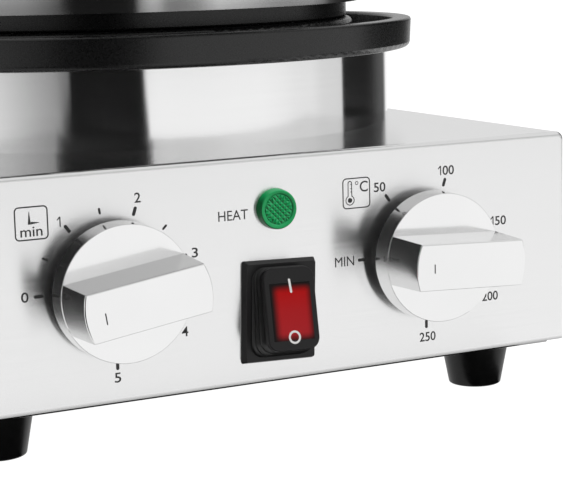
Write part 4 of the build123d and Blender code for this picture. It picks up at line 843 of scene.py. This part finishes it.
def rounded_box(bm, left, right, low, high, corner, width):
    """A frame line with rounded corners round an icon."""
    known = set(bm.verts)
    rounded_plate(bm, (right - left) / 2, (high - low) / 2, corner, frame_segments)
    keep_outline(bm, known, width)
    settle(bm, known, spot((left + right) / 2, (low + high) / 2))


def scale_tick(bm, centre_x, step, reach, length, width):
    """A stroke of the dial, so many steps clockwise from the left."""
    around = spot(centre_x, 0.0, scale_start - scale_step * step)
    stroke(bm, length, width, around @ spot(reach, 0.0, 90.0))


def scale_ticks(bm, centre_x, half_steps):
    """The dial's long strokes, one at each step, and short ones half-way where asked."""
    for step in range(long_ticks):
        scale_tick(bm, centre_x, step, 28.55, 3.5, 1.25)
    for step in half_steps:
        scale_tick(bm, centre_x, step + 0.5, 28.7, 2.4, 0.85)


scale_start, scale_step, long_ticks = 180.0, 54.0, 6
frame_corner, frame_segments = 1.7, 6
figure_height, figure_weight = 3.7, 0.012
dial_centre = dial_x * 1000
on_panel = on_front(0.0, dial_z, ink_gap / 1000)
dark_ink = grained("dark_ink", (0.030, 0.030, 0.030), 0.5, 900, 0.000005, 1.1, 0.9)
bm = bmesh.new()
scale_ticks(bm, -dial_centre, range(long_ticks - 1))
for text, x, y, wide in (
    ("0", -98.7, 0.2, 2.75), ("2", -54.9, 32.0, 2.4),
    ("3", -33.2, 9.8, 2.45), ("4", -38.2, -19.2, 2.6), ("5", -65.2, -33.1, 2.5),
):
    words(bm, text, x, y, figure_height, wide, figure_weight)
one(bm, -84.9, 25.8)
words(bm, "min", -95.1, 23.35, 3.45, 8.1)
rounded_box(bm, -101.2, -88.8, 20.25, 32.35, frame_corner, 0.5)
long_hand = bmesh.ops.create_grid(bm, x_segments=1, y_segments=1, size=0.5)["verts"]
for vert in long_hand:
    tip = vert.co.y > 0
    vert.co = (-95.72 + vert.co.x * (0.16 if tip else 1.1), 30.5 if tip else 25.9, 0.0)
short_hand = bmesh.ops.create_grid(bm, x_segments=1, y_segments=1, size=0.5)["verts"]
for vert in short_hand:
    tip = vert.co.x > 0
    vert.co = (-92.1 if tip else -95.16, 26.38 + vert.co.y * (0.16 if tip else 0.96), 0.0)
print_piece("timer_marks", bm, on_panel, dark_ink, "base")

bm = bmesh.new()
scale_ticks(bm, dial_centre, ())
for text, x, y, wide in (
    ("50", 44.9, 27.6, 5.1), ("00", 75.85, 31.8, 5.2),
    ("50", 100.05, 9.7, 5.2), ("200", 94.9, -20.6, 7.5), ("250", 65.6, -33.7, 7.3),
):
    words(bm, text, x, y, figure_height, wide, figure_weight)
one(bm, 71.9, 31.8)
one(bm, 96.1, 9.7)
words(bm, "MIN", 29.0, 0.1, figure_height, 8.3, 0.0)
words(bm, "C", 37.95, 28.5, 4.2, 3.5)
ring(bm, 0.72, 0.26, spot(34.87, 29.97))
rounded_box(bm, 28.65, 40.7, 20.2, 32.1, frame_corner, 0.45)
bulb_at = spot(31.88, 23.5)
bulb_radius, tube_radius, tube_top, glass_line = 1.95, 0.95, 6.55, 0.35
neck_start, neck_end = 61, 119
known = set(bm.verts)
bmesh.ops.create_circle(bm, cap_ends=True, radius=tube_radius, segments=32)
settle(bm, known, bulb_at)
known = set(bm.verts)
bmesh.ops.create_circle(bm, cap_ends=True, radius=bulb_radius, segments=60)
for vert in [vert for vert in bm.verts if vert not in known]:
    around = degrees(atan2(vert.co.y, vert.co.x))
    if neck_start < around < neck_end:
        turned = radians((around - neck_start) / (neck_end - neck_start) * 180)
        vert.co = (tube_radius * cos(turned), tube_top + tube_radius * sin(turned), 0.0)
keep_outline(bm, known, glass_line)
settle(bm, known, bulb_at)
for mark_y in (29.6, 28.0, 26.75):
    stroke(bm, 0.75, 0.3, spot(32.45, mark_y, 90.0))
print_piece("thermostat_marks", bm, on_panel, dark_ink, "base")

bm = bmesh.new()
words(bm, "HEAT", -17.35, 22.15, figure_height, 12.1, 0.003)
print_piece("heat_mark", bm, on_panel, dark_ink, "base")

# Pointer marks: a short dark line printed near the left end of each knob's grip
# bar, which turns with the knob.
bar_lift = front_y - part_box("timer_knob")[0].y + ink_gap / 1000
pointer_width = 0.45
for name, knob_x, length, place, body in (
    ("timer_pointer", -dial_x, 4.2, spot(-16.05, -3.5, 8.5), "timer_dial"),
    ("thermostat_pointer", dial_x, 3.5, spot(-16.3, 0.3), "thermostat_dial"),
):
    bm = bmesh.new()
    stroke(bm, length, pointer_width, place)
    print_piece(name, bm, on_front(knob_x, dial_z, bar_lift), dark_ink, body)
